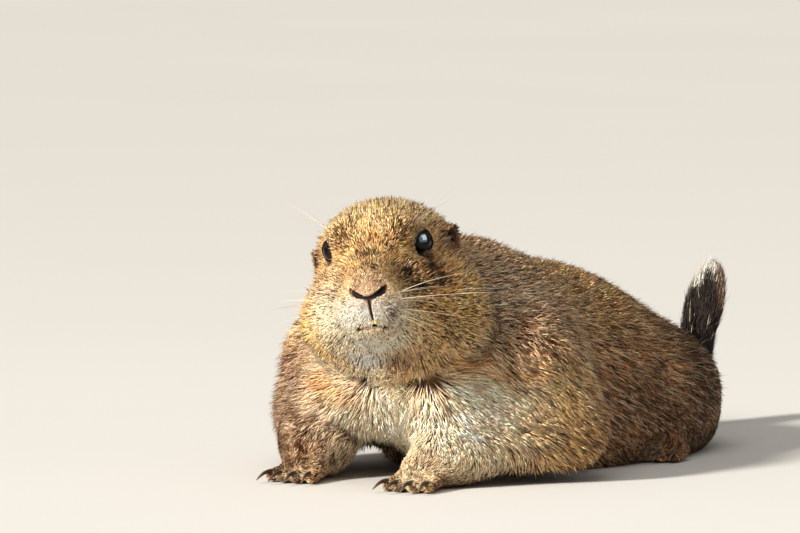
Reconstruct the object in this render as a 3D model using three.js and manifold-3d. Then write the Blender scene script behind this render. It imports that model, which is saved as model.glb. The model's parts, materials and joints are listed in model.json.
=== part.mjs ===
// A black-tailed prairie dog lying at rest on its belly, with its chest propped on bent
// forelegs and its head raised: a still, life-size model, measured to the tips of its coat.
// Millimetres, +Z up. The head is towards -Y and the animal's left side is +X.
// The origin is on the floor, under the middle of the whole animal.
import * as THREE from "three";
import { mergeVertices } from "three/addons/utils/BufferGeometryUtils.js";
import Module from "manifold-3d";

const wasm = await Module();
wasm.setup();

// Driving dimensions
const GAP = 0.3; // left between neighbouring pieces
const EYE_CENTRE_SPACING = 32; // from one eyeball's middle to the other's
const EYE_RADIUS = 5.5;
const EYES_OFF_MIDDLE = 1.2; // both eyes, toward the side that the head turns to
const NOSE_AHEAD_OF_EYES = 34;
const NOSE_BELOW_EYES = 17.5;
const EYE_HEIGHT = 94; // of the point between the eyes, over the floor
const EYES_AHEAD = 124; // of that point, in front of the trunk's middle
const EYES_TO_LEFT = 6;
const HEAD_TURN = 20.5; // degrees to the animal's left
const HEAD_LIFT = 6; // degrees, nose up
const HEAD_ROLL = 7; // degrees, left eye up
const EAR_SPACING = 53;
const EAR_HEIGHT = 12;
const TRUNK_HALF_WIDTH = 60;
const TRUNK_HEIGHT = 80;
const RUMP_HALF_WIDTH = 57;
const RUMP_HEIGHT = 57;
const RUMP_END = 101;
const TAIL_WIDTH = 18;
const TAIL_THICKNESS = 11;
const TAIL_TIP_HEIGHT = 68;
const TOE_RADIUS = 2.6;
const FORE_CLAW_LENGTH = 9;
const HIND_CLAW_LENGTH = 7;
const CLAW_RADIUS = 1.1;

const vec = (x, y, z) => new THREE.Vector3(x, y, z);
const radians = THREE.MathUtils.degToRad;

// Fields: functions of a point that are negative inside a shape and close to a distance.

// An ellipsoid, turned by Euler degrees about its own centre.
function ellipsoid(centre, radii, turn = [0, 0, 0]) {
  const back = new THREE.Matrix4()
    .makeRotationFromEuler(new THREE.Euler(...turn.map(radians)))
    .invert();
  const r = vec(...radii);
  return (p) => {
    const q = p.clone().sub(centre).applyMatrix4(back).divide(r);
    const k0 = q.length();
    const k1 = q.divide(r).length();
    return k1 > 0 ? (k0 * (k0 - 1)) / k1 : -Math.min(...radii);
  };
}

// A rod with round ends, from radius ra at a to radius rb at b.
function taperedRod(a, b, ra, rb) {
  const ab = b.clone().sub(a);
  return (p) => {
    const ap = p.clone().sub(a);
    const t = THREE.MathUtils.clamp(ap.dot(ab) / ab.lengthSq(), 0, 1);
    return ap.addScaledVector(ab, -t).length() - THREE.MathUtils.lerp(ra, rb, t);
  };
}

// The union of fields, filleted where they meet: a larger fillet joins them more softly.
function blend(fillet, ...fields) {
  return (p) =>
    fields
      .map((f) => f(p))
      .reduce((a, b) => {
        const h = Math.max(fillet - Math.abs(a - b), 0) / fillet;
        return Math.min(a, b) - (h * h * fillet) / 4;
      });
}

// One field with another dug out of it, with a softened edge.
function dug(fillet, field, hollow) {
  return (p) => {
    const a = field(p);
    const b = -hollow(p);
    const h = Math.max(fillet - Math.abs(a - b), 0) / fillet;
    return Math.max(a, b) + (h * h * fillet) / 4;
  };
}

// The same field, placed by a matrix.
function placed(matrix, field) {
  const back = matrix.clone().invert();
  return (p) => field(p.clone().applyMatrix4(back));
}

// A pair of fields, one on each side of the head or body: make(1) is the left one.
const pair = (make) => [make(1), make(-1)];

// Head, in its own frame: the origin is between the eyes, -Y is forward and +Z is up.
const headFrame = new THREE.Matrix4()
  .makeTranslation(EYES_TO_LEFT, -EYES_AHEAD, EYE_HEIGHT)
  .multiply(new THREE.Matrix4().makeRotationZ(radians(HEAD_TURN)))
  .multiply(new THREE.Matrix4().makeRotationX(radians(-HEAD_LIFT)))
  .multiply(new THREE.Matrix4().makeRotationY(radians(-HEAD_ROLL)));
const noseTip = vec(0, -NOSE_AHEAD_OF_EYES, -NOSE_BELOW_EYES);

const skull = blend(
  8,
  ellipsoid(vec(0, 15, -1.5), [23, 25, 19]),
  ellipsoid(vec(0, 28, -3), [27.5, 20, 20]),
  ...pair((s) => ellipsoid(vec(s * 9.5, -2, 3.5), [8.5, 12, 8.5])),
);
const muzzle = blend(
  6,
  taperedRod(vec(0, 4, -4), vec(0, -25, -17), 13, 8.5),
  taperedRod(vec(0, -6, -19), vec(0, -21, -23), 14, 9),
  ...pair((s) => ellipsoid(vec(s * 6, -24, -23.5), [8.5, 9, 7.5])),
);
const jaw = blend(
  7,
  ellipsoid(vec(0, -15, -31), [10, 13, 7.5]),
  ellipsoid(vec(0, 8, -29), [22, 20, 13]),
);
// The turn of the neck pushes the left cheek out.
const cheeks = pair((s) =>
  blend(
    8,
    ellipsoid(vec(s * 17 + 2, 19, -27), [20, 22, 18]),
    ellipsoid(vec(s * 12 + 1, 4, -19), [14, 17, 14]),
  ),
);
const orbits = pair((s) =>
  ellipsoid(vec(s * 22.5 + EYES_OFF_MIDDLE, -5, 0), [6, 8.5, 6.5], [0, 0, s * 25]),
);
const head = placed(
  headFrame,
  dug(3, dug(3, blend(8, skull, muzzle, jaw, ...cheeks), orbits[0]), orbits[1]),
);

// Trunk and neck: domes that are widest near the floor
const trunk = blend(
  24,
  ellipsoid(vec(0, RUMP_END - 56, 22), [RUMP_HALF_WIDTH, 56, RUMP_HEIGHT - 22]),
  ellipsoid(vec(0, 0, 27), [TRUNK_HALF_WIDTH, 62, TRUNK_HEIGHT - 27]),
  ellipsoid(vec(1, -46, 48), [48, 38, 40]),
  ellipsoid(vec(2, -76, 39), [34, 24, 26]),
);
const neck = blend(
  14,
  taperedRod(vec(2, -56, 60), vec(5, -97, 67), 32, 28),
  ellipsoid(vec(6, -99, 56), [30, 20, 20]),
  ellipsoid(vec(-4, -95, 36), [28, 17, 18]),
);

// Legs. The left foreleg reaches in under the chest and the right one stands wider.
const wrist = (s) => vec(s > 0 ? 27 : -34, -99, 17);
const forefoot = (s) => vec(s > 0 ? 23 : -32, s > 0 ? -118 : -113, 7);
const heel = (s) => vec(s * 43, 66, 9);
const hindfoot = (s) => vec(s * 54, 22, 6.5);
const foreleg = (s) =>
  blend(
    10,
    ellipsoid(vec(s * 43, -64, 40), [22, 27, 29], [0, 0, s * 10]),
    taperedRod(vec(s * 54.5, -62, 21), wrist(s), 19, 15),
    taperedRod(vec(s * 38, -74, 44), vec(s * 26 - 2, -96, 33), 17, 13),
    taperedRod(wrist(s).add(vec(0, -2, -6)), forefoot(s), 11, 8),
  );
const hindleg = (s) =>
  blend(
    8,
    ellipsoid(vec(s * 36, 42, 24), [22, 38, 24], [0, 0, s * -6]),
    taperedRod(heel(s), hindfoot(s), 9.5, 8),
  );

// Tail, raised behind the rump and bushy at its end
const tailBend = vec(6, 137, 29);
const tailTip = vec(9, 152, TAIL_TIP_HEIGHT);
const tail = blend(
  8,
  taperedRod(vec(0, 88, 24), tailBend, 13, 8),
  ellipsoid(
    tailTip.clone().lerp(tailBend, 0.5),
    [TAIL_WIDTH / 2, TAIL_THICKNESS / 2, tailTip.distanceTo(tailBend) / 2],
    [-19, 4, 0],
  ),
);

const whole = blend(12, trunk, neck, head, ...pair(foreleg), ...pair(hindleg));
const wholeWithTail = blend(9, whole, tail);

// Meshes of fields

// A closed mesh of the field within a box: one point in each cell of a grid that the surface
// crosses, drawn onto the surface, and two triangles across each grid edge that it crosses.
function netted(field, low, high, cell) {
  const size = high.clone().sub(low);
  const [nx, ny, nz] = size.toArray().map((s) => Math.ceil(s / cell) + 1);
  const strides = [1, nx, nx * ny];
  const gridPoint = (i, j, k) => vec(i, j, k).multiplyScalar(cell).add(low);
  const values = new Float64Array(nx * ny * nz);
  for (let k = 0; k < nz; k++)
    for (let j = 0; j < ny; j++)
      for (let i = 0; i < nx; i++) {
        const rim = i * j * k === 0 || i === nx - 1 || j === ny - 1 || k === nz - 1;
        const value = field(gridPoint(i, j, k));
        values[i + nx * (j + ny * k)] = rim ? Math.max(value, cell / 2) : value;
      }

  const points = [];
  const pointOfCell = new Map();
  for (let k = 0; k < nz - 1; k++)
    for (let j = 0; j < ny - 1; j++)
      for (let i = 0; i < nx - 1; i++) {
        const at = cellPoint(i, j, k);
        if (!at) continue;
        pointOfCell.set(i + nx * (j + ny * k), points.length / 3);
        points.push(...onSurface(field, at, cell).toArray());
      }

  const triangles = [];
  for (let k = 0; k < nz - 1; k++)
    for (let j = 0; j < ny - 1; j++)
      for (let i = 0; i < nx - 1; i++) {
        const at = [i, j, k];
        const here = i + nx * (j + ny * k);
        for (let axis = 0; axis < 3; axis++) {
          if (at[(axis + 1) % 3] * at[(axis + 2) % 3] === 0) continue;
          const inside = values[here] < 0;
          if (inside === values[here + strides[axis]] < 0) continue;
          const u = strides[(axis + 1) % 3];
          const v = strides[(axis + 2) % 3];
          const [a, b, c, d] = [here, here - u, here - u - v, here - v].map((n) =>
            pointOfCell.get(n),
          );
          triangles.push(...(inside ? [a, b, c, a, c, d] : [a, c, b, a, d, c]));
        }
      }
  return solid(new Float32Array(points), new Uint32Array(triangles));

  function cellPoint(i, j, k) {
    const sum = vec(0, 0, 0);
    let crossings = 0;
    for (let axis = 0; axis < 3; axis++)
      for (const [u, v] of [[0, 0], [0, 1], [1, 0], [1, 1]]) {
        const start = [i, j, k];
        start[(axis + 1) % 3] += u;
        start[(axis + 2) % 3] += v;
        const n = start[0] + nx * (start[1] + ny * start[2]);
        const from = values[n];
        const to = values[n + strides[axis]];
        if (from < 0 === to < 0) continue;
        const point = gridPoint(...start);
        point.setComponent(axis, point.getComponent(axis) + (cell * from) / (from - to));
        sum.add(point);
        crossings++;
      }
    return crossings ? sum.divideScalar(crossings) : null;
  }
}

// A point near the surface, stepped onto it along the field's slope. A point on the rim of
// the grid is far from the surface and is left where it is.
function onSurface(field, point, cell) {
  const step = cell / 50;
  for (let pass = 0; pass < 3; pass++) {
    const value = field(point);
    if (Math.abs(value) > cell) break;
    const slope = vec(
      field(point.clone().add(vec(step, 0, 0))) - value,
      field(point.clone().add(vec(0, step, 0))) - value,
      field(point.clone().add(vec(0, 0, step))) - value,
    ).divideScalar(step);
    const length = Math.max(slope.lengthSq(), 0.25);
    const move = slope.multiplyScalar(-value / length);
    point.add(move.clampLength(0, cell / 3));
  }
  return point;
}

// Solids for joining and cutting

function solid(vertProperties, triVerts) {
  return new wasm.Manifold(new wasm.Mesh({ numProp: 3, vertProperties, triVerts }));
}

function solidOf(geometry, matrix = new THREE.Matrix4()) {
  const bare = (geometry.index ? geometry.toNonIndexed() : geometry).clone();
  bare.deleteAttribute("normal");
  bare.deleteAttribute("uv");
  bare.applyMatrix4(matrix);
  const merged = mergeVertices(bare, 1e-4);
  return solid(merged.attributes.position.array, new Uint32Array(merged.index.array));
}

function geometryOf(manifold) {
  const mesh = manifold.getMesh();
  const count = mesh.numProp;
  const points = new Float32Array((mesh.vertProperties.length / count) * 3);
  for (let i = 0; i < points.length / 3; i++)
    points.set(mesh.vertProperties.subarray(i * count, i * count + 3), i * 3);
  const geometry = new THREE.BufferGeometry();
  geometry.setAttribute("position", new THREE.BufferAttribute(points, 3));
  geometry.setIndex(new THREE.BufferAttribute(mesh.triVerts, 1));
  return geometry;
}

// Everything ahead of a plane through point, facing along normal: a box with one face there.
function ahead(point, normal, shift = 0) {
  const side = 700;
  const turn = new THREE.Quaternion().setFromUnitVectors(
    vec(0, 0, 1),
    normal.clone().normalize(),
  );
  const middle = vec(0, 0, side / 2 + shift).applyQuaternion(turn).add(point);
  const matrix = new THREE.Matrix4().compose(middle, turn, vec(1, 1, 1));
  return solidOf(new THREE.BoxGeometry(side, side, side), matrix);
}

function ball(centre, radii, grow = 0, turn = [0, 0, 0], segments = 12) {
  const matrix = new THREE.Matrix4().compose(
    centre,
    new THREE.Quaternion().setFromEuler(new THREE.Euler(...turn.map(radians))),
    vec(...radii).addScalar(grow),
  );
  return solidOf(new THREE.SphereGeometry(1, segments, segments / 2), matrix);
}

// A rod with round ends as a solid, turned from its half outline.
function rod(a, b, ra, rb, grow = 0, sides = 10, steps = 3) {
  const length = a.distanceTo(b);
  const outline = [];
  for (let i = 0; i <= steps; i++) {
    const angle = (Math.PI / 2) * (i / steps - 1);
    outline.push(new THREE.Vector2(Math.cos(angle), Math.sin(angle)).multiplyScalar(ra + grow));
  }
  for (let i = 0; i <= steps; i++) {
    const angle = (Math.PI / 2) * (i / steps);
    const end = new THREE.Vector2(Math.cos(angle), Math.sin(angle)).multiplyScalar(rb + grow);
    outline.push(end.add(new THREE.Vector2(0, length)));
  }
  outline[0].x = 0;
  outline.at(-1).x = 0;
  const turn = new THREE.Quaternion().setFromUnitVectors(
    vec(0, 1, 0),
    b.clone().sub(a).normalize(),
  );
  const matrix = new THREE.Matrix4().compose(a, turn, vec(1, 1, 1));
  return solidOf(new THREE.LatheGeometry(outline, sides), matrix);
}

const aboveFloor = ahead(vec(0, 0, 0), vec(0, 0, 1));

// The eyes, nose, teeth and ears are set into the head
const inHead = (point) => point.clone().applyMatrix4(headFrame);
const headTurn = new THREE.Quaternion().setFromRotationMatrix(headFrame);

const inHeadFrame = (matrix) => headFrame.clone().multiply(matrix);
const matrixOf = (position, turn, scale) =>
  new THREE.Matrix4().compose(
    position,
    new THREE.Quaternion().setFromEuler(new THREE.Euler(...turn.map(radians))),
    scale,
  );
const eyeMiddle = (s) => inHead(vec(EYES_OFF_MIDDLE + (s * EYE_CENTRE_SPACING) / 2, 0, 0));
const eyeSolid = (s, grow = 0) => ball(eyeMiddle(s), [1, 1, 1], EYE_RADIUS + grow);

const earCup = (s, shift, radii, grow = 0) =>
  solidOf(
    new THREE.SphereGeometry(1, 10, 6),
    inHeadFrame(
      matrixOf(
        vec((s * EAR_SPACING) / 2, 19, s > 0 ? -0.5 : -4).add(shift),
        [8, s * -6, s * -35],
        vec(...radii).addScalar(grow),
      ),
    ),
  );
const ear = (s, grow) => earCup(s, vec(0, 0, 0), [5, 4, EAR_HEIGHT / 2], grow);
const earHollow = (s) => earCup(s, vec(s * 1.6, -2.2, 0.4), [3.8, 3.6, EAR_HEIGHT / 2 - 1.6]);

const nosePad = (grow = 0) =>
  solidOf(
    new THREE.SphereGeometry(1, 12, 6),
    inHeadFrame(
      matrixOf(noseTip.clone().add(vec(1, 3, -0.8)), [0, 0, 0], vec(6.2, 4, 3.2).addScalar(grow)),
    ),
  );

const nostril = (s) =>
  ball(inHead(noseTip.clone().add(vec(s * 3.8 + 1, 0.2, 0))), [1.6, 2, 1.1], 0, [0, 0, 0], 6);

// The slit of the mouth, under the upper lip
const mouth = solidOf(
  new THREE.SphereGeometry(1, 12, 4),
  inHeadFrame(matrixOf(vec(1, -25, -30.2), [8, 0, 0], vec(9, 8, 0.6))),
);

const incisors = (grow = 0) =>
  solidOf(
    new THREE.BoxGeometry(3.6 + 2 * grow, 3.4 + 2 * grow, 5 + 2 * grow),
    inHeadFrame(matrixOf(vec(1.8, -30.5, -27.5), [0, 0, 0], vec(1, 1, 1))),
  );

// Planes that part the body
const headPlane = {
  point: inHead(vec(0, 27, -4)),
  normal: vec(0, -1, 0.42).applyQuaternion(headTurn),
};
const neckPlane = { point: vec(0, -60, 88), normal: vec(0, -48, 44) };
const tailPlane = { point: vec(0, 101, 30), normal: vec(0, 1, 0.1) };
const headSide = (shift) => ahead(headPlane.point, headPlane.normal, shift);
const neckSide = (shift) => ahead(neckPlane.point, neckPlane.normal, shift);
const tailSide = (shift) => ahead(tailPlane.point, tailPlane.normal, shift);

// The room that each leg takes, which the trunk and neck leave free
const legRoom = {
  foreleg: (s, grow) =>
    ball(vec(s * 58, -64, 34), [32, 31, 36], grow).add(
      rod(vec(s * 56, -64, 18), forefoot(s).add(vec(0, -14, 0)), 24, 17, grow),
    ),
  hindleg: (s, grow) =>
    ball(vec(s * 56, 46, 18), [30, 40, 32], grow).add(
      rod(vec(s * 50, 70, 8), vec(s * 54, 20, 6), 15, 16, grow),
    ),
};

// The free space round the hind toes, under the flank
const toeRoom = (s, grow) => rod(vec(s * 55, 8, 3), vec(s * 57, 1, 3), 15, 13, grow);

// Toes stand on the floor, fanned out from the front of the foot; each carries a claw
function digits(s, foot, spread, lengths, clawLength) {
  const middle = (lengths.length - 1) / 2;
  return lengths.map((length, i) => {
    const across = s * (i - middle);
    const direction = vec(across * spread, -1, 0).normalize();
    const base = vec(foot.x + across * 4.4, foot.y + 5, TOE_RADIUS + 1.4);
    const tip = base.clone().addScaledVector(direction, length);
    tip.z = TOE_RADIUS - 0.2;
    const clawBase = tip.clone().addScaledVector(direction, TOE_RADIUS - 1.6);
    clawBase.z += 1;
    const clawTip = clawBase.clone().addScaledVector(direction, clawLength);
    clawTip.z = CLAW_RADIUS / 2 + 0.8;
    return {
      toe: rod(base, tip, TOE_RADIUS + 0.5, TOE_RADIUS, 0, 6, 2),
      claw: (grow) => rod(clawBase, clawTip, CLAW_RADIUS, 0.4, grow, 5, 1),
    };
  });
}

const body = netted(wholeWithTail, vec(-90, -148, -14), vec(90, 130, 120), 11.5);
const parts = {
  head: netted(whole, vec(-44, -170, 40), vec(60, -72, 120), 5.3).intersect(headSide(GAP / 2)),
  neck: body.intersect(neckSide(GAP / 2)).subtract(headSide(-GAP / 2)),
  trunk: body.subtract(neckSide(-GAP / 2)).subtract(tailSide(-GAP / 2)),
  tail: netted(wholeWithTail, vec(-24, 84, -2), vec(28, 172, 84), 5.8).intersect(
    tailSide(GAP / 2),
  ),
};
for (const s of [1, -1]) {
  const side = s > 0 ? "left" : "right";
  const foreNet = netted(whole, vec(s * 44 - 46, -150, -12), vec(s * 44 + 46, -20, 90), 10);
  const hindNet = netted(whole, vec(s * 50 - 44, -10, -12), vec(s * 50 + 44, 112, 80), 11.5);
  const legs = {
    foreleg: {
      flesh: foreNet.intersect(legRoom.foreleg(s, 0)).subtract(headSide(-GAP / 2)),
      toes: digits(s, forefoot(s).add(vec(0, -5, 0)), 0.12, [10, 12, 12, 10], FORE_CLAW_LENGTH),
    },
    hindleg: {
      flesh: hindNet.intersect(legRoom.hindleg(s, 0)).subtract(toeRoom(s, 0)),
      toes: digits(s, hindfoot(s).add(vec(0, -5, 0)), 0.08, [9, 12, 13, 12, 9], HIND_CLAW_LENGTH),
    },
  };
  for (const [name, { flesh, toes }] of Object.entries(legs)) {
    let leg = toes.reduce((sum, { toe }) => sum.add(toe), flesh);
    toes.forEach(({ claw }, i) => {
      leg = leg.subtract(claw(GAP));
      parts[`${name}_claw_${side}_${i + 1}`] = claw(0);
    });
    parts[`${name}_${side}`] = leg.intersect(aboveFloor);
  }
  for (const name of ["trunk", "neck", "head"])
    parts[name] = parts[name].subtract(legRoom.foreleg(s, GAP));
  parts.trunk = parts.trunk.subtract(legRoom.hindleg(s, GAP)).subtract(toeRoom(s, GAP));
  parts.head = parts.head.subtract(eyeSolid(s, GAP)).subtract(ear(s, GAP));
  parts["eye_" + side] = eyeSolid(s);
  parts["ear_" + side] = ear(s, 0).subtract(earHollow(s));
}
parts.head = parts.head.subtract(nosePad(GAP)).subtract(incisors(GAP)).subtract(mouth);
parts.nose = nosePad().subtract(nostril(1)).subtract(nostril(-1));
parts.incisors = incisors();
parts.trunk = parts.trunk.intersect(aboveFloor);

const colours = {
  coat: 0xb08a5c,
  eye: 0x14100e,
  ear: 0x8a5f3c,
  nose: 0x4a3430,
  incisors: 0xd8c48a,
  tail: 0x2a2420,
  claw: 0x2c2622,
};
const model = new THREE.Group();
for (const [name, manifold] of Object.entries(parts)) {
  const kind = name.split("_").find((word) => word in colours) ?? "coat";
  const material = new THREE.MeshStandardMaterial({
    color: colours[kind],
    roughness: 0.9,
    metalness: 0,
  });
  const mesh = new THREE.Mesh(geometryOf(manifold), material);
  mesh.name = name;
  model.add(mesh);
}

// The origin goes to the floor under the middle of the whole animal.
const bounds = new THREE.Box3().setFromObject(model);
const middle = bounds.getCenter(vec(0, 0, 0)).setZ(bounds.min.z);
for (const { geometry } of model.children) geometry.translate(-middle.x, -middle.y, -middle.z);

export default model;
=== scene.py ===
"""A black-tailed prairie dog at rest, life size: skin, coat, eyes, lids, nose, teeth, ears, claws and whiskers.

Shapes are worked out in the modeller's own space, in millimetres: +Z is up, the floor is z = 0, the head is
towards -Y and the animal's left side is +X. to_frame() carries a finished shape into the frame's metres. The head
has a space of its own, with its origin between the eyes.
"""

import json
import math

import bpy
import numpy as np
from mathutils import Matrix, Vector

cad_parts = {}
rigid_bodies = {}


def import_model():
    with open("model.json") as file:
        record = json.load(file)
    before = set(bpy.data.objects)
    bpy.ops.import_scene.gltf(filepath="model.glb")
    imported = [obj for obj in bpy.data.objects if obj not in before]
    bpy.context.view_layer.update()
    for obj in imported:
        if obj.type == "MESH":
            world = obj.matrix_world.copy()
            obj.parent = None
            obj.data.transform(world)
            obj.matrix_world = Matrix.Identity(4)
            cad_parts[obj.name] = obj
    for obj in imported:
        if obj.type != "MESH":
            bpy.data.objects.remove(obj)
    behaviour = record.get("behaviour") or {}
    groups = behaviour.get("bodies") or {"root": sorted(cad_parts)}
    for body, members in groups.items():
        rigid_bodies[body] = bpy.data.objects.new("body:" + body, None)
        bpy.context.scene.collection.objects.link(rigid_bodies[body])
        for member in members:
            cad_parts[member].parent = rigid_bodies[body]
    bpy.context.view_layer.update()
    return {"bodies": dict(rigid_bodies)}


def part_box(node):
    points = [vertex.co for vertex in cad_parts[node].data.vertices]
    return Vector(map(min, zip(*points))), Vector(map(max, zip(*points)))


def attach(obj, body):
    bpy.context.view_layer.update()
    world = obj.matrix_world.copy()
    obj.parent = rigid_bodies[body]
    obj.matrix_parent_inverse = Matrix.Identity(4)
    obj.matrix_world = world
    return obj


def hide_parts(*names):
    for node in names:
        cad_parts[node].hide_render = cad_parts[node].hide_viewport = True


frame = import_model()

bl_info = {
    "name": "Prairie dog model",
    "version": (1, 0, 0),
    "blender": (4, 5, 0),
    "location": "View3D > Sidebar > Prairie dog",
    "description": "Skin, coat, eyes and claws of a prairie dog lying at rest",
    "category": "Object",
}

F = np.float32
SIDES = (1, -1)  # the animal's left, then its right
SIDE_NAME = {1: "left", -1: "right"}


def vec(*values):
    """A point or direction as an array."""
    return np.array(values, F)


def unit(v):
    """The same directions with length 1."""
    return v / np.maximum(np.linalg.norm(v, axis=-1, keepdims=True), 1e-9)


def turn_about(axis, degrees):
    """The turn by an angle about one of the three axes, as a 3 x 3 matrix."""
    c, s = math.cos(math.radians(degrees)), math.sin(math.radians(degrees))
    i, j = [(1, 2), (2, 0), (0, 1)][axis]
    m = np.eye(3)
    m[i, i] = m[j, j] = c
    m[i, j] = -s
    m[j, i] = s
    return m.astype(F)


def turned(x, y, z):
    """Turns about X, Y and Z in one matrix, the turn about Z being the first to act."""
    return turn_about(0, x) @ turn_about(1, y) @ turn_about(2, z)


# The head's place and attitude
HEAD_AT = vec(6, -124, 94)
HEAD_TURN = turn_about(2, 20.5) @ turn_about(0, -6) @ turn_about(1, -7)
EYE_OUT = 16.0
EYE_RADIUS = 5.5
CORNEA_RISE, CORNEA_WIDTH = 0.3, 0.7  # the bell over the cornea, in millimetres and radians
IRIS_EDGES = ((13, 20), (38, 46))  # its soft inner and outer edge, in degrees from the eye's axis
FACE_MIDDLE = 1.2  # eyes, nose and lips sit this far to the left of the skull's middle
EYE_AT = {s: vec(FACE_MIDDLE + s * EYE_OUT, 0, 0) for s in SIDES}


def to_head(p):
    """Points in the head's own space: moved back to its origin and turned back."""
    return (p - HEAD_AT) @ HEAD_TURN


def from_head(q):
    """Points of the head's space, turned and moved to their place."""
    return q @ HEAD_TURN.T + HEAD_AT


EYES_IN_FRAME = np.mean([np.array(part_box(f"eye_{SIDE_NAME[s]}")).mean(0) for s in SIDES], axis=0)
FRAME_SHIFT = (EYES_IN_FRAME * 1000 - from_head(vec(FACE_MIDDLE, 0, 0))).astype(F)


def to_frame(p):
    """Millimetres of the modeller's space in metres of the frame: shifted, then scaled."""
    return ((p + FRAME_SHIFT) * 0.001).astype(F)


# Fields: functions of points that are negative inside a shape and close to a distance in millimetres.


def length(v):
    """Length of each row."""
    return np.sqrt(np.einsum("ij,ij->i", v, v))


def ellipsoid(p, centre, radii, turn=None):
    """With q the point in the ellipsoid's own axes divided by its radii: |q| (|q| - 1) / |q / radii|."""
    q = p - np.asarray(centre, F)
    if turn is not None:
        q = q @ turned(*turn)
    q = q / np.asarray(radii, F)
    k0 = length(q)
    return k0 * (k0 - 1) / np.maximum(length(q / np.asarray(radii, F)), 1e-6)


def rod(p, a, b, ra, rb):
    """Distance to the nearest point of the line from a to b, less a radius that runs from ra to rb."""
    a, b = np.asarray(a, F), np.asarray(b, F)
    ab, ap = b - a, p - a
    t = np.clip(ap @ ab / (ab @ ab), 0, 1)
    return length(ap - t[:, None] * ab) - (ra + (rb - ra) * t)


def chain(p, path):
    """The least of the rods that join the neighbouring (point, radius) pairs of a path."""
    return np.minimum.reduce([rod(p, a, b, ra, rb) for (a, ra), (b, rb) in zip(path, path[1:])])


def blend(fillet, *values):
    """The least of the values, lowered by h * h * fillet / 4 where two are within a fillet of each other."""
    total = values[0]
    for value in values[1:]:
        h = np.maximum(fillet - np.abs(total - value), 0) / fillet
        total = np.minimum(total, value) - h * h * fillet / 4
    return total


def dug(fillet, value, hollow):
    """The greater of a value and the hollow's negative, raised in the same way where they are close."""
    return -blend(fillet, -value, hollow)


def smooth(low, high, x):
    """0 below low, 1 above high and 3 t t - 2 t t t between."""
    t = np.clip((x - low) / (high - low), 0, 1)
    return t * t * (3 - 2 * t)


def near(p, centre, radii):
    """A bell of height 1: exp(-d * d), where d is the distance to the centre in units of the radii."""
    d = (p - np.asarray(centre, F)) / np.asarray(radii, F)
    return np.exp(-np.einsum("ij,ij->i", d, d))


def wander(p, size, seed, waves=7):
    """A smooth random value between about -1 and 1: sine waves in random directions, added up, whose wavelengths
    are near one size."""
    rng = np.random.default_rng(seed)
    ways = unit(rng.normal(size=(waves, 3))) * (2 * math.pi / size) * rng.uniform(0.6, 1.6, (waves, 1))
    starts = rng.uniform(0, 2 * math.pi, waves)
    return np.sin(p @ ways.T.astype(F) + starts.astype(F)).sum(1) / math.sqrt(waves / 2) * 0.6


# The body's outline, out to the tips of its coat


def head_field(q):
    """Skull, brows, muzzle, whisker pads, jaw and cheeks as filleted ellipsoids and rods, with the orbits dug out."""
    skull = blend(8, ellipsoid(q, (0, 15, -1.5), (23, 25, 19)), ellipsoid(q, (0, 28, -3), (27.5, 20, 20)),
                  *[ellipsoid(q, (s * 9.5, -2, 3.5), (8.5, 12, 8.5)) for s in SIDES])
    muzzle = blend(6, rod(q, (0, 4, -4), (0, -25, -17), 13, 8.5), rod(q, (0, -6, -19), (0, -21, -23), 14, 9),
                   *[ellipsoid(q, (s * 6, -24, -23.5), (8.5, 9, 7.5)) for s in SIDES])
    jaw = blend(7, ellipsoid(q, (0, -15, -31), (10, 13, 7.5)), ellipsoid(q, (0, 8, -29), (22, 20, 13)))
    cheeks = [blend(8, ellipsoid(q, (s * 17 + 2, 19, -27), (20, 22, 18)),
                    ellipsoid(q, (s * 12 + 1, 4, -19), (14, 17, 14))) for s in SIDES]
    f = blend(8, skull, muzzle, jaw, *cheeks)
    for s in SIDES:
        f = dug(3, f, ellipsoid(q, (s * 22.5 + FACE_MIDDLE, -5, 0), (6, 8.5, 6.5), (0, 0, s * 25)))
    return f


# Where the legs bend and end, by side, and where the tail does
WRIST = {1: vec(27, -99, 17), -1: vec(-34, -99, 17)}
FOREFOOT = {1: vec(23, -118, 7), -1: vec(-32, -113, 7)}
HEEL = {s: vec(s * 43, 66, 9) for s in SIDES}
HINDFOOT = {s: vec(s * 54, 22, 6.5) for s in SIDES}
TAIL_BEND, TAIL_TIP = vec(6, 137, 29), vec(9, 152, 68)
TAIL_LEAN = 0.385  # how far back the tail goes for each millimetre up
NOSE = vec(FACE_MIDDLE, -34, -20)  # the tip of the nose, in the head's space


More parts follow.
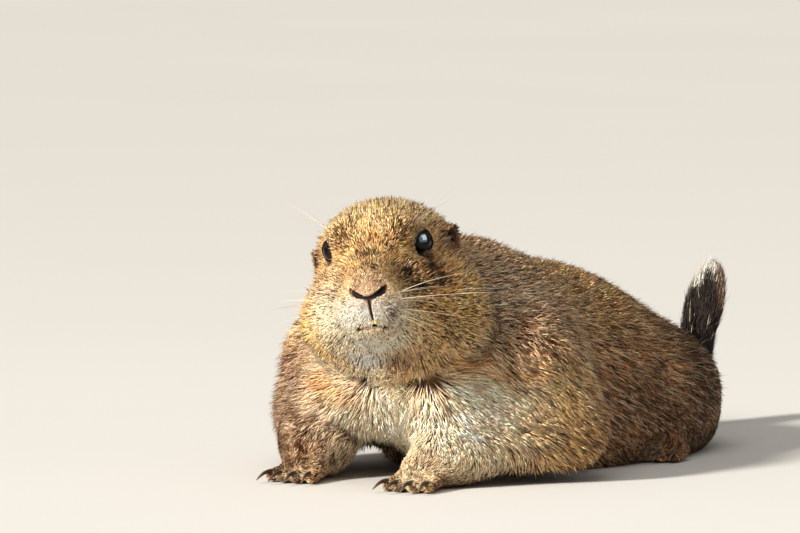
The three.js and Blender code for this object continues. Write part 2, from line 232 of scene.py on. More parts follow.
def outline(p):
    """The whole animal: trunk, neck, head, legs and tail, filleted into one another."""
    trunk = blend(24, ellipsoid(p, (0, 45, 22), (57, 56, 35)), ellipsoid(p, (0, 0, 27), (60, 62, 53)),
                  ellipsoid(p, (1, -46, 48), (48, 38, 40)), ellipsoid(p, (2, -76, 39), (34, 24, 26)))
    neck = blend(14, rod(p, (2, -56, 60), (5, -97, 67), 32, 28), ellipsoid(p, (6, -99, 56), (30, 20, 20)),
                 ellipsoid(p, (-4, -95, 36), (28, 17, 18)))
    legs = []
    for s in SIDES:
        legs.append(blend(10, ellipsoid(p, (s * 43, -64, 40), (22, 27, 29), (0, 0, s * 10)),
                          rod(p, (s * 54.5, -62, 21), WRIST[s], 19, 15),
                          rod(p, (s * 38, -74, 44), (s * 26 - 2, -96, 33), 17, 13),
                          rod(p, WRIST[s] + vec(0, -2, -6), FOREFOOT[s], 11, 8)))
    for s in SIDES:
        legs.append(blend(8, ellipsoid(p, (s * 36, 42, 24), (22, 38, 24), (0, 0, s * -6)),
                          rod(p, HEEL[s], HINDFOOT[s], 9.5, 8)))
    half = float(np.linalg.norm(TAIL_TIP - TAIL_BEND)) / 2
    tail = blend(8, rod(p, (0, 88, 24), TAIL_BEND, 13, 8),
                 ellipsoid(p, (TAIL_BEND + TAIL_TIP) / 2, (9, 5.5, half), (-19, 4, 0)))
    return blend(9, blend(12, trunk, neck, head_field(to_head(p)), *legs), tail)


def head_share(q):
    """1 on the head, 0 behind the plane through the back of the jaw, with a soft change."""
    return smooth(-7, 7, (q - vec(0, 27, -4)) @ unit(vec(0, -1, 0.42)))


def paw_distance(p):
    """Distance to the nearest foot, as four rods from wrist or heel to the toes."""
    toe_end = vec(0, -12, -3)
    rods = [rod(p, WRIST[s] + vec(0, -6, -8), FOREFOOT[s] + toe_end, 6, 6) for s in SIDES]
    rods += [rod(p, HEEL[s], HINDFOOT[s] + toe_end, 6, 6) for s in SIDES]
    return np.minimum.reduce(rods)


def eye_distance(q):
    """Distance to the nearer eye's middle."""
    return np.minimum(*[length(q - EYE_AT[s]) for s in SIDES])


SHORT_ROUND_EYE = (6.1, 15.5)  # from the eye's middle: where the coat starts to deepen, and where it is full


def coat_thickness(p, q):
    """How deep the coat stands: thin round nose, eyes and feet, deeper on cheeks and crown, deepest on the trunk."""
    face = 0.7 + 3.3 * smooth(5, 58, length(q - NOSE))
    face = np.minimum(face, 0.4 + 3.4 * smooth(*SHORT_ROUND_EYE, eye_distance(q)))
    body = 5.4 - 4.2 * (1 - smooth(1, 16, paw_distance(p)))
    tail = smooth(104, 122, p[:, 1])
    body = body * (1 - tail) + 3.0 * tail
    share = head_share(q)
    thick = face * share + body * (1 - share)
    return thick * (0.45 + 0.55 * smooth(1, 14, p[:, 2]))


# The edge of the left cheek, from behind the ear down and round under the chin, in the head's space
CHEEK_EDGE = ((31, 35, -6), (36, 38.5, -13), (39.5, 36, -20), (42, 29.5, -29), (42.3, 24.5, -37),
              (38.5, 20.5, -42.5), (29, 9, -45), (18, 3, -45.5), (6, 0.5, -44.5))
CHEEKS_MEET = 1.0  # the cheeks mirror each other about this plane
NECK_FOLDS = 8.5  # from one crease of the neck to the next


def crease_distance(q):
    """Distance to the line behind and under both cheeks."""
    mirrored = q * vec(-1, 1, 1) + vec(2 * CHEEKS_MEET, 0, 0)
    return chain(np.where(q[:, :1] > CHEEKS_MEET, q, mirrored), [(vec(*point), 0.0) for point in CHEEK_EDGE])


def neck_folds(p):
    """Where the turned neck bunches the skin: 0 on the ridges of a sine wave, up to 1 between them."""
    place = near(p, (44, -84, 76), (20, 24, 19)) + 0.7 * near(p, (-38, -80, 68), (18, 22, 20))
    phase = (p[:, 1] + 0.3 * p[:, 0] - 0.12 * p[:, 2]) * (2 * math.pi / NECK_FOLDS) + 1.2 * wander(p, 40, 5)
    return np.clip(place, 0, 1) * (0.5 - 0.5 * np.sin(phase))


def fold_depth(p, q):
    """A valley round the cheeks, and the folds behind it."""
    return 2.6 * np.exp(-((crease_distance(q) / 3.2) ** 2)) + 2.8 * neck_folds(p)


def coat_top(p, q):
    """The outline, let in by the creases, with the toes added, and rounded over the lids."""
    lids = eye_distance(q) - (EYE_RADIUS + 0.5)
    return blend(2.0, outline(p) + fold_depth(p, q), toes(p, 0.6), lids)


# Feet: (places, how far neighbouring toes splay, length of each toe, length of the claws)
FEET = {
    "foreleg": (FOREFOOT, 0.12, (10, 12, 12, 10), 9.0),
    "hindleg": (HINDFOOT, 0.08, (9, 12, 13, 12, 9), 7.0),
}
TOE_RADIUS = 2.6
TOE_PITCH = 4.4  # from the middle of a toe to the next
CLAW_TIP_HEIGHT = 1.35
CLAW_SIDES = 8
TOES_REACH = 12.0  # toes are worked out this close to a foot
TOES_FAR = 9.0  # their distance elsewhere


def digits(leg, s):
    """(root of the toe, its tip, root of the claw, its tip) of each digit. The toes fan out from the front of the
    foot, and each claw runs on from its toe down to the floor."""
    places, splay, lengths, claw = FEET[leg]
    foot, middle = places[s] + vec(0, -5, 0), (len(lengths) - 1) / 2
    found = []
    for i, reach in enumerate(lengths):
        across = s * (i - middle)
        way = unit(vec(across * splay, -1, 0))
        root = vec(foot[0] + across * TOE_PITCH, foot[1] + 5, TOE_RADIUS + 1.4)
        tip = root + way * reach
        tip[2] = TOE_RADIUS - 0.2
        claw_root = tip + way * 1.0 + vec(0, 0, 1)
        claw_tip = claw_root + way * claw
        claw_tip[2] = CLAW_TIP_HEIGHT
        found.append((root, tip, claw_root, claw_tip))
    return found


def toes(p, coat):
    """Distance to the nearest toe with a coat of some depth, worked out only near the feet."""
    found = np.full(len(p), TOES_FAR, F)
    close = paw_distance(p) < TOES_REACH
    rods = [rod(p[close], root, tip, 2.5 + coat, 2.1 + coat)
            for leg in FEET for s in SIDES for root, tip, _, _ in digits(leg, s)]
    found[close] = np.minimum.reduce(rods)
    return found


# Grooves of the muzzle: (place in the head's space, radius) along each. The nostrils mirror about FACE_MIDDLE.
NOSTRIL = [((0.1, -34.0, -20.9), 0.55), ((2.2, -34.0, -20.2), 0.7), ((4.2, -33.4, -19.4), 1.1),
           ((5.7, -32.2, -18.3), 1.15), ((6.8, -30.8, -16.5), 0.6), ((7.0, -30.2, -15.4), 0.3)]
CLEFT = [((1.3, -34.1, -20.8), 0.42), ((1.4, -33.8, -23.9), 0.28), ((1.6, -33.0, -26.8), 0.26),
         ((1.8, -32.0, -28.9), 0.3), ((1.9, -31.4, -30.6), 0.45)]
MOUTH = [((-7.5, -25.0, -33.0), 0.25), ((-3.2, -30.2, -31.4), 0.6), ((1.6, -31.2, -31.3), 0.8),
         ((5.8, -29.4, -31.9), 0.7), ((9.6, -24.0, -33.8), 0.3)]
TEETH_MIDDLE = 1.9
NOSTRIL_WIDTH = {1: 1.0, -1: 0.72}  # the far nostril is narrower
NOSE_SINK = 0.6  # bare nose and lips lie this far below the coat's top


def nose_surface(q):
    """The outline, let in by as much as the bare nose and lips lie below the coat."""
    return outline(from_head(q)) + NOSE_SINK


def grooves():
    """Each groove as a chain whose points are moved to the surface of the nose and lips."""
    nostrils = [[((FACE_MIDDLE + s * x, y, z), radius * NOSTRIL_WIDTH[s]) for (x, y, z), radius in NOSTRIL]
                for s in SIDES]
    found = []
    for path in (*nostrils, CLEFT, MOUTH):
        points = settled(nose_surface, np.array([point for point, _ in path], F), passes=6)
        found.append([(point, radius) for point, (_, radius) in zip(points, path)])
    return found


def groove_distance(q):
    """Distance to the nearest of the nostrils, the cleft of the lip and the mouth."""
    return np.minimum.reduce([chain(q, path) for path in GROOVES])


def nose_region(q):
    """The front of the muzzle, which has a finer piece of its own."""
    return ellipsoid(q, (FACE_MIDDLE, -30, -24), (10.5, 8, 12.5))


# Ears: the middle of each opening, and the half widths of the bare hollow in front of the flap
EAR_AT = {1: vec(26.8, 18.4, 0.0), -1: vec(-25.4, 19.4, -4.2)}
EAR_HOLLOW = vec(6, 2.4, 4.2)
FLAP_TURN, FLAP_THICK = (-35, 190), 0.9  # degrees round the opening, and millimetres
EAR_HAIRS = 16.0  # to a square millimetre of a flap


def in_ear(q):
    """True in the hollow of either ear."""
    return np.logical_or.reduce([length((q - EAR_AT[s]) / EAR_HOLLOW) < 1 for s in SIDES])


# Eyelids: how far the dark rim's edge lies from the eye's axis, by the turn about the axis from the top to the front
EYE_AXIS = {s: unit(vec(s * 0.718, -0.693, -0.07)) for s in SIDES}
RIM_TURN = (-173, -150, -128, -113, -98, -80, -60, -38, -20, -4, 23, 55, 90, 112, 132, 150, 159, 172)
RIM_REACH = {1: (33, 42, 58, 57, 44, 33, 33, 42, 56, 47, 40, 39, 44, 53, 60, 72, 60, 39),
             -1: (40, 44, 53, 53, 44, 37, 37, 41, 50, 46, 35, 31, 30, 33, 38, 43, 43, 41)}  # this one squints
RIM_WIDTH = 4.5  # the rim, in degrees


def eye_basis(s):
    """Axis, direction to the top of the opening, and the direction to its front."""
    axis = EYE_AXIS[s]
    top = unit(vec(0, 0, 1) - axis * axis[2])
    return axis, top, s * np.cross(axis, top).astype(F)


def round_axis(s, out, spin):
    """Directions from an eye's middle, turned out from its axis by one angle and round it by another."""
    axis, top, across = eye_basis(s)
    out, spin = out[..., None], spin[..., None]
    return np.cos(out) * axis + np.sin(out) * np.cos(spin) * top + np.sin(out) * np.sin(spin) * across


def rim_angle(spin, s):
    """The rim's edge at a turn about the axis: straight between the measured turns, then softened over 12 degrees."""
    turns = np.degrees(spin)
    reach = sum(np.interp(turns + d, RIM_TURN, RIM_REACH[s], period=360) for d in (-6, -3, 0, 3, 6)) / 5
    return np.radians(reach).astype(F)


def lid_distance(q, s):
    """How far a point lies outside the rim's edge, measured along the eyeball, and more off it."""
    axis, top, across = eye_basis(s)
    d = q - EYE_AT[s]
    r = np.maximum(length(d), 1e-6)
    angle = np.arccos(np.clip(d @ axis / r, -1, 1))
    spin = np.arctan2(d @ across, d @ top)
    return (angle - rim_angle(spin, s)) * r + 2.0 * np.maximum(r - EYE_RADIUS - 2.5, 0)


SKIN_REST, HAIR_REST = 0.15, 0.25  # how high skin and hair keep above the floor


def skin_field(p):
    """The outline let in by the coat, with toes added and rounded over the eyeballs, and flat where it rests."""
    q = to_head(p)
    f = blend(2.0, outline(p) + fold_depth(p, q) + coat_thickness(p, q), toes(p, 0.0))
    for s in SIDES:
        ball = length(q - EYE_AT[s]) - (EYE_RADIUS + 0.15)
        f = dug(0.6, blend(3.0, f, ball), lid_distance(q, s) - 0.1)
    f = f + 2.4 * (1 - smooth(-1.5, 0.5, nose_region(q)))
    return np.maximum(f, SKIN_REST - p[:, 2])


def slope(field, p, step=0.2):
    """The field's rate of change along each axis, from differences over a short step."""
    return np.stack([field(p + d) - field(p - d) for d in np.eye(3, dtype=F) * F(step)], 1) / (2 * step)


def settled(field, p, level=0.0, passes=3, reach=1.5):
    """Points stepped along the field's slope until the field has the wanted level there."""
    for _ in range(passes):
        g = slope(field, p)
        move = -(field(p) - level)[:, None] * g / np.maximum(np.einsum("ij,ij->i", g, g), 0.2)[:, None]
        p = p + move * np.minimum(1, reach / np.maximum(length(move), 1e-9))[:, None]
    return p.astype(F)


def netted(field, xs, ys, zs):
    """A closed mesh of a field on a grid of any spacing: one point in each cell that the surface crosses, the mean of
    the crossings on the cell's edges, and one quad across each grid edge that the surface crosses."""
    lines = (xs.astype(F), ys.astype(F), zs.astype(F))
    shape = tuple(len(line) for line in lines)
    values = np.empty(shape, F)
    for i in range(0, shape[0], 8):
        block = np.stack(np.meshgrid(lines[0][i:i + 8], lines[1], lines[2], indexing="ij"), -1)
        values[i:i + 8] = field(block.reshape(-1, 3)).reshape(block.shape[:3])
    inside = values < 0
    count = sum(inside[i:shape[0] - 1 + i, j:shape[1] - 1 + j, k:shape[2] - 1 + k].astype(np.uint8)
                for i in (0, 1) for j in (0, 1) for k in (0, 1))
    cells = np.argwhere((count > 0) & (count < 8))
    number = np.full(count.shape, -1, np.int32)
    number[tuple(cells.T)] = np.arange(len(cells))
    total, crossings = np.zeros((len(cells), 3), F), np.zeros(len(cells), F)
    quads = []
    for axis in range(3):
        along, u, v = (np.eye(3, dtype=int)[(axis + k) % 3] for k in range(3))
        for a in (0, 1):
            for b in (0, 1):
                start = cells + a * u + b * v
                low, high = values[tuple(start.T)], values[tuple((start + along).T)]
                cross = (low < 0) != (high < 0)
                point = np.stack([lines[k][start[:, k]] for k in range(3)], 1)
                step = lines[axis][start[:, axis] + 1] - lines[axis][start[:, axis]]
                point[:, axis] += step * low / np.where(cross, low - high, 1)
                total += np.where(cross[:, None], point, 0)
                crossings += cross
        before = inside.take(range(shape[axis] - 1), axis)
        edges = np.argwhere(before != inside.take(range(1, shape[axis]), axis))
        ring = np.stack([number[tuple((edges - d).T)] for d in (0 * u, u, u + v, v)], 1)
        ring[~before[tuple(edges.T)]] = ring[~before[tuple(edges.T)]][:, ::-1]
        quads.append(ring)
    return total / crossings[:, None], np.concatenate(quads)


GROOVES = grooves()


def steps(*parts):
    """Grid lines: each part is (end, spacing), and starts where the one before ends."""
    lines = [np.array([parts[0]])]
    for end, spacing in parts[1:]:
        start = lines[-1][-1]
        lines.append(np.linspace(start, end, max(2, round((end - start) / spacing) + 1))[1:])
    return np.concatenate(lines)


# Colours


def linear(*rgb):
    """Screen colours from 0 to 255, as the linear values a shader works in."""
    c = np.asarray(rgb, F) / 255
    return np.where(c <= 0.04045, c / 12.92, ((c + 0.055) / 1.055) ** 2.4).astype(F)


WHITE = linear(252, 244, 228)
CREAM = linear(255, 231, 198)
FAWN = linear(206, 172, 142)
GOLD = linear(228, 174, 104)
HONEY = linear(226, 172, 92)
BUFF = linear(216, 164, 102)
TAN = linear(188, 146, 96)
AMBER = linear(208, 140, 66)
RUSSET = linear(186, 118, 60)
TAUPE = linear(160, 128, 104)
BROWN = linear(138, 100, 74)
# This brown is used only as painted shade: on the rear of the body and in the crease round the cheeks.
SHADE_BROWN = linear(88, 62, 40)
SEPIA = linear(88, 54, 26)
UMBER = linear(66, 40, 24)
SOOT = linear(34, 26, 22)
# The first is the bare nose; the other two are painted shade, along the edges and in the depths of the nostrils,
# cleft and mouth.
NOSE_PINK, GROOVE_EDGE_SHADE, GROOVE_SHADE = linear(140, 96, 82), linear(96, 58, 50), linear(20, 9, 8)
HORN, HORN_TIP = linear(46, 36, 31), linear(112, 92, 74)
WHISKER = linear(248, 232, 200)


def laid(under, over, share):
    """One colour, or direction, laid over another by a share from 0 to 1."""
    share = np.clip(share, 0, 1)[:, None]
    return under * (1 - share) + over * share


PAW = laid(BUFF[None], CREAM[None], vec(0.6))[0]
# Partly the dark underfur, partly painted shade between the hairs.
UNDERFUR_AND_SHADE = vec(0.36, 0.27, 0.20)  # the skin's share of the coat's colour

# Bells of colour on the chest and shoulders and on the face, in the order they are laid: (colour, middle, radii,
# share at the middle); those that are painted light or shade are marked. Those of the face are in the head's space.
CHEST_PATCHES = (
    (CREAM, (0, -100, 30), (26, 30, 24), 1.4),
    (AMBER, (-27, -109, 38), (13, 16, 6), 1.0),
    (AMBER, (-15, -110, 33), (9, 14, 4), 0.7),
    # Painted shade: the next two golden patches are darkened where the head shades the chest, under the chin and the
    # left cheek.
    (GOLD * 0.7, (14, -112, 46), (14, 16, 7), 0.75),
    (AMBER * 0.7, (37, -102, 49), (18, 20, 5), 1.0),
    (AMBER, (44, -92, 43), (14, 20, 3), 0.8),
)
FACE_PATCHES = (
    (TAN, (FACE_MIDDLE, -24, -7), (7, 7, 7), 0.7),
    (FAWN, (FACE_MIDDLE, -31, -15), (7, 6, 5), 0.8),
    (WHITE, (FACE_MIDDLE - 1, -29, -25.5), (11, 12, 6), 1.2),
    (WHITE, (-2, -14, -37), (13, 14, 7), 0.95),
    # Painted light: cream on the far cheek, the side toward the light.
    (CREAM, (-18, -8, -26), (9, 14, 12), 0.85),
    # White chin hair, its far side partly painted light; then brown under the chin, as painted shade.
    (WHITE, (-8, 1, -43), (8, 10, 6), 1.2),
    (BROWN, (5, 3, -44), (7, 8, 4), 0.9),
)
# Dark patches below and before the left eye, partly the coat's own and partly painted shade: (place from the
# face's middle, radii, strength). The right eye's mirror them, at less strength.
EYE_SPOTS_AND_SHADE = (
    ((12.8, -12.6, -11.4), (4.2, 5, 4.4), 0.9),
    ((20.6, -5.5, -10.2), (3.2, 5, 2.6), 1.0),
    ((17, -12, -17.5), (4.6, 5, 2.2), 1.1),
    ((19.8, -2, -5.8), (2.5, 4, 2.3), 0.9),
    ((24, -4, -15.5), (3.6, 5, 2.6), 0.8),
)
EYE_SPOT_AND_SHADE_SHARE = {1: 1.0, -1: 0.45}
TAN_SHOULDER = ((44, -66, 66), (34, 30, 40))  # middle and radii of the lighter, more ticked left shoulder


def patched(p, colour, *patches):
    """A colour with bells of others laid over it in turn, each as (colour, middle, radii, share)."""
    for over, middle, radii, share in patches:
        colour = laid(colour, over, near(p, middle, radii) * share)
    return colour


def raised(p, value, *bells):
    """A value with bells added to it, each as (height, middle, radii)."""
    for height, middle, radii in bells:
        value = value + height * near(p, middle, radii)
    return value


def body_tint(p, crease, drift, far_arm_dark_and_shade):
    """The colours of neck, trunk and legs: cream and amber on the chest, pale on the paws. Painted light and shade:
    lighter on top of the neck, browner low down and darker to the rear, golden and dark in the crease round the
    cheeks, dark in the neck's folds, darker under the chin and on the left shoulder, and part of the dark low on the
    far arm."""
    back, up = p[:, 1], p[:, 2]
    tint = np.tile(TAN, (len(p), 1))
    # Painted light and shade: lighter on top of the neck, browner low down, darker to the rear.
    tint = laid(tint, TAN * 1.5, smooth(46, 74, up) * smooth(-70, -40, back) * 0.8)
    tint = laid(tint, BROWN, smooth(66, 28, up) * smooth(-80, -40, back) * 0.8)
    tint = laid(tint, SHADE_BROWN * 0.9, smooth(10, 70, back) * 0.85)
    for s in SIDES:
        tint = patched(p, tint, (TAUPE * 2, (s * 40, -66, 66), (34, 30, 40), 1.0),
                       (GOLD, (s * 56, -82, 36), (20, 26, 30), 0.8),
                       (CREAM, (s * 36, -104, 32), (26, 22, 24), 1.25))
    tint = patched(p, tint, *CHEST_PATCHES)
    # Painted shade: golden, then dark, along the crease behind and under the cheeks, and dark in the neck's folds.
    tint = laid(tint, GOLD, smooth(3.2, 0.6, crease) * smooth(-60, -90, back) * 0.7)
    tint = laid(tint, SHADE_BROWN, smooth(3.0, 0.2, crease) * 0.45)
    tint = laid(tint, UMBER, smooth(0.3, 0.7, neck_folds(p)) * 0.8)
    tint = patched(p, tint, (GOLD, (-47, -98, 30), (12, 22, 18), 0.8))
    tint = laid(tint, PAW, 0.8 - 0.8 * smooth(-3, 3, paw_distance(p)))
    # Painted shade: the upper left shoulder darkened to brown.
    tint = patched(p, tint, (BROWN, (50, -84, 58), (13, 18, 13), 0.7))
    tint = laid(tint, RUSSET, np.clip(drift, 0, 1) * 0.35)
    tint = laid(tint, BROWN, np.clip(2 * near(p, (-54, -96, 30), (18, 28, 20)), 0, 1) * 0.95)
    # Partly painted shade: the low far arm laid over in dark brown.
    return laid(tint, SEPIA, far_arm_dark_and_shade)


def face_tint(q, crease, spots_and_shade):
    """The colours of the head: golden crown, darker round the ears, white lips and chin, a thin pale ring round each
    eye and dark patches below it. Painted light and shade among them: cream on the far cheek, more white on the
    chin's far side, brown under the chin, dark in the ear's groove and in the crease round the cheeks, and part of
    the dark below the eyes."""
    tint = np.tile(BUFF, (len(q), 1))
    tint = laid(tint, GOLD, smooth(-2, 10, q[:, 2]) * 0.7)
    for s in SIDES:
        tint = patched(q, tint, (RUSSET, (s * 29, 0, -15), (13, 14, 9), 0.6),
                       (HONEY, (s * 30, 14, -30), (16, 22, 15), 0.9),
                       (BROWN, EAR_AT[s], (6, 6, 8), 1.2),
                       # Painted shade: dark in the hollow in front of each ear.
                       (UMBER, EAR_AT[s] - vec(0, 3, 0), (5, 2.4, 5), 0.9),
                       (CREAM, (s * 12, -26, -28), (8, 13, 7), 0.6))
    tint = laid(tint, TAUPE, smooth(26, 38, q[:, 1]) * smooth(-12, 4, q[:, 2]) * 0.8)
    tint = patched(q, tint, *FACE_PATCHES)
    # Painted shade in the crease round the cheeks.
    tint = laid(tint, SHADE_BROWN, smooth(2.2, 0.0, crease) * 0.6)
    ring = np.minimum(*[lid_distance(q, s) + 9 * (length(q - EYE_AT[s]) > 10) for s in SIDES])
    tint = laid(tint, CREAM, smooth(0.0, 0.6, ring) * smooth(2.4, 1.2, ring) * 0.3)
    # The dark below the eyes: partly the coat's own, partly painted shade.
    for s in SIDES:
        for spot, strength in spots_and_shade[s]:
            tint = laid(tint, UMBER * 0.5, spot * strength * EYE_SPOT_AND_SHADE_SHARE[s] * 1.15)
    return tint


def brush_tint(p, fleck):
    """The colours of the tail: soot, a white fringe above a slanting line across the view, partly the tail's own
    pale hair and partly painted sunlight on its upper side, and a brown edge on the left.
    """
    across = (p[:, 0] - 8) * 0.87 + (p[:, 1] - 146) * 0.5
    # Partly painted light: the white fringe is partly pale hair, partly painted sunlight on the side facing the
    # light.
    fringe = smooth(57, 65, p[:, 2] - 0.9 * across + 4 * fleck)
    tint = laid(np.tile(SOOT, (len(p), 1)), WHITE, fringe * 0.9)
    return laid(tint, TAUPE, smooth(2, 9, across) * smooth(38, 50, p[:, 2]) * 0.8)


def markings(p):
    """The coat's colour at each point, with how many of its hairs are dark and how many are pale at the tip."""
    q = to_head(p)
    head = head_share(q)
    drift, fleck = wander(p, 26, 11), wander(p, 9, 12)
    crease = crease_distance(q)
    # Dark brown low on the far arm: partly its own darker coat, partly painted shade.
    far_arm_dark_and_shade = np.clip(1.6 * near(p, (-37, -113, 16), (17, 23, 13)), 0, 0.85) * (0.9 + 0.3 * fleck)
    spots_and_shade = {s: [(near(q, vec(FACE_MIDDLE, 0, 0) + vec(s, 1, 1) * vec(*place), radii), strength)
                 for place, radii, strength in EYE_SPOTS_AND_SHADE] for s in SIDES}

    dark = 0.20 + 0.14 * fleck + 0.10 * smooth(-4, 8, q[:, 2])
    dark = raised(q, dark, (0.7, (-1.2, -18.3, -3.2), (6, 4, 2)), (0.7, (2.4, -26.8, -9.2), (4.5, 4, 2.4)))
    for s in SIDES:
        dark = raised(q, dark, (0.5, (s * 26, -3, -14), (5, 6, 4)), (0.6, (s * 12.5, -11.5, 6), (4, 5, 4.5)))
        # More dark hairs in the same places: partly the coat's own, partly painted shade.
        for spot, strength in spots_and_shade[s]:
            dark = dark + 0.75 * strength * EYE_SPOT_AND_SHADE_SHARE[s] * spot
    dark = raised(q, dark, (0.16, (30, 14, -30), (18, 24, 18)), (0.5, (9.5, -31, -27.5), (3, 4, 3)),
                  (-0.3, (FACE_MIDDLE - 2, -27, -25), (12, 14, 7)))
    dark_body = 0.18 + 0.12 * fleck + 0.10 * smooth(-60, 0, p[:, 1])
    dark_body = raised(p, dark_body, (0.12, *TAN_SHOULDER), (-0.4, (32, -104, 32), (24, 24, 20)),
                       (-0.4, (-32, -98, 36), (24, 24, 20)), (-0.4, (0, -104, 28), (24, 24, 20)))
    # Painted light: more pale tips on the far cheek.
    pale = raised(q, 0.22 + 0.24 * smooth(0, 12, q[:, 2]), (0.4, (-18, -6, -28), (12, 18, 14)),
                  (-0.12, (26, -4, -16), (12, 16, 14)), (0.3, (-2, -12, -38), (14, 16, 8)),
                  (0.2, (30, 14, -30), (18, 24, 18)))
    pale_body = raised(p, 0.22 + 0.1 * drift, (0.25, (0, -72, 66), (60, 26, 30)), (0.45, (0, -104, 28), (50, 26, 22)))
    pale_body = raised(p, pale_body * (1 - 0.8 * far_arm_dark_and_shade), (0.15, *TAN_SHOULDER))

    colour = face_tint(q, crease, spots_and_shade) * head[:, None] + body_tint(p, crease, drift, far_arm_dark_and_shade) * (1 - head)[:, None]
    dark = np.clip(dark * head + dark_body * (1 - head), 0, 0.95)
    pale = np.clip(pale * head + pale_body * (1 - head), 0, 0.6)

    tail = smooth(116, 134, p[:, 1] + 0.35 * p[:, 2] - 8 + 4 * fleck)
    colour = laid(colour, brush_tint(p, fleck), tail)
    colour = np.clip(colour * (1 + 0.10 * drift[:, None]), 0, 1).astype(F)
    return colour, dark * (1 - tail), pale * (1 - tail) + 0.02 * tail


# Meshes


BODY = next(iter(frame["bodies"]))


def placed(name, data):
    """A new object, such as a piece or a lamp, linked into the scene."""
    found = bpy.data.objects.new(name, data)
    bpy.context.scene.collection.objects.link(found)
    return found


def make_piece(name, points, faces, material, tints, uv=None, replaced=()):
    """A piece from points in the modeller's space with their tints, and faces of equal size, riding on the model's
    one body."""
    mesh = bpy.data.meshes.new(name)
    corners = faces.shape[1]
    mesh.vertices.add(len(points))
    mesh.vertices.foreach_set("co", to_frame(np.asarray(points, F)).ravel())
    mesh.loops.add(faces.size)
    mesh.loops.foreach_set("vertex_index", np.ascontiguousarray(faces, np.int32).ravel())
    mesh.polygons.add(len(faces))
    mesh.polygons.foreach_set("loop_start", np.arange(0, faces.size, corners, dtype=np.int32))
    mesh.update(calc_edges=True)
    mesh.shade_smooth()
    opaque = np.concatenate([tints, np.ones((len(tints), 1), F)], 1).astype(F)
    mesh.attributes.new("tint", "FLOAT_COLOR", "POINT").data.foreach_set("color", opaque.ravel())
    if uv is not None:
        mesh.uv_layers.new(name="OFBake").data.foreach_set("uv", np.asarray(uv, F).ravel())
    mesh.materials.append(material)
    piece = placed(name, mesh)
    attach(piece, BODY)
    if replaced:
        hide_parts(*replaced)
    return piece


def grid_faces(rows, columns, closed_rows=False, closed_columns=True, first=0):
    """Quads of a grid of points, row after row, joined round where it is closed."""
    i = np.arange(rows if closed_rows else rows - 1)
    j = np.arange(columns if closed_columns else columns - 1)
    a, b = np.meshgrid(i, j, indexing="ij")
    c, d = (a + 1) % rows, (b + 1) % columns
    return first + np.stack([a * columns + b, a * columns + d, c * columns + d, c * columns + b], -1).reshape(-1, 4)


def swept(path, radii, sides, flat=1.0, up=vec(0, 0, 1)):
    """Tubes carried along paths: ring k is the path's point k plus a circle of radius k in the plane across the path.
    path is (tubes, steps, 3). Both ends are closed by a narrow last ring joined to a point. Returns points, faces."""
    count, rings = path.shape[:2]
    ahead = unit(np.gradient(path, axis=1))
    side = unit(np.cross(ahead, up))
    over = np.cross(side, ahead)
    angle = np.arange(sides) * 2 * math.pi / sides
    ring = (side[:, :, None] * np.cos(angle)[:, None] + over[:, :, None] * np.sin(angle)[:, None] * flat)
    points = path[:, :, None] + ring * radii[..., None, None]
    points = np.concatenate([points.reshape(count, -1, 3), path[:, :1], path[:, -1:]], 1)
    one = grid_faces(rings, sides)
    one = np.concatenate([one[:, [0, 1, 2]], one[:, [0, 2, 3]]])
    j = np.arange(sides)
    start, end = rings * sides, rings * sides + 1
    caps = [np.stack([np.full(sides, start), (j + 1) % sides, j], 1),
            np.stack([np.full(sides, end), (rings - 1) * sides + j, (rings - 1) * sides + (j + 1) % sides], 1)]
    one = np.concatenate([one, *caps])
    faces = one[None] + (np.arange(count) * points.shape[1])[:, None, None]
    return points.reshape(-1, 3), faces.reshape(-1, 3)


# Materials


def worked_out(tree, operation, *values):
    """The output of a Math node whose inputs are numbers or other nodes' outputs."""
    node = tree.nodes.new("ShaderNodeMath")
    node.operation = operation
    for socket, value in zip(node.inputs, values):
        if isinstance(value, float):
            socket.default_value = value
        else:
            tree.links.new(value, socket)
    return node.outputs[0]


def grain_group():
    """Hair grain, built once: two sizes of noise at the place, as a shade round 1 and a height."""
    if "Hair Grain" in bpy.data.node_groups:
        return bpy.data.node_groups["Hair Grain"]
    tree = bpy.data.node_groups.new("Hair Grain", "ShaderNodeTree")
    tree.interface.new_socket("Place", in_out="INPUT", socket_type="NodeSocketVector")
    for label, default in (("Scale", 900.0), ("Contrast", 0.3)):
        tree.interface.new_socket(label, in_out="INPUT", socket_type="NodeSocketFloat").default_value = default
    for label in ("Shade", "Height"):
        tree.interface.new_socket(label, in_out="OUTPUT", socket_type="NodeSocketFloat")
    nodes, links = tree.nodes, tree.links
    given, out = nodes.new("NodeGroupInput").outputs, nodes.new("NodeGroupOutput").inputs
    fine, broad = nodes.new("ShaderNodeTexNoise"), nodes.new("ShaderNodeTexNoise")
    fine.inputs["Detail"].default_value = 3.0
    broad.inputs["Detail"].default_value = 2.0
    broad.inputs["Scale"].default_value = 90.0
    for node in (fine, broad):
        links.new(given["Place"], node.inputs["Vector"])
    links.new(given["Scale"], fine.inputs["Scale"])
    both = worked_out(tree, "ADD", fine.outputs["Fac"], broad.outputs["Fac"])
    centred = worked_out(tree, "SUBTRACT", both, 1.0)
    links.new(worked_out(tree, "MULTIPLY_ADD", centred, given["Contrast"], 1.0), out["Shade"])
    links.new(fine.outputs["Fac"], out["Height"])
    return tree


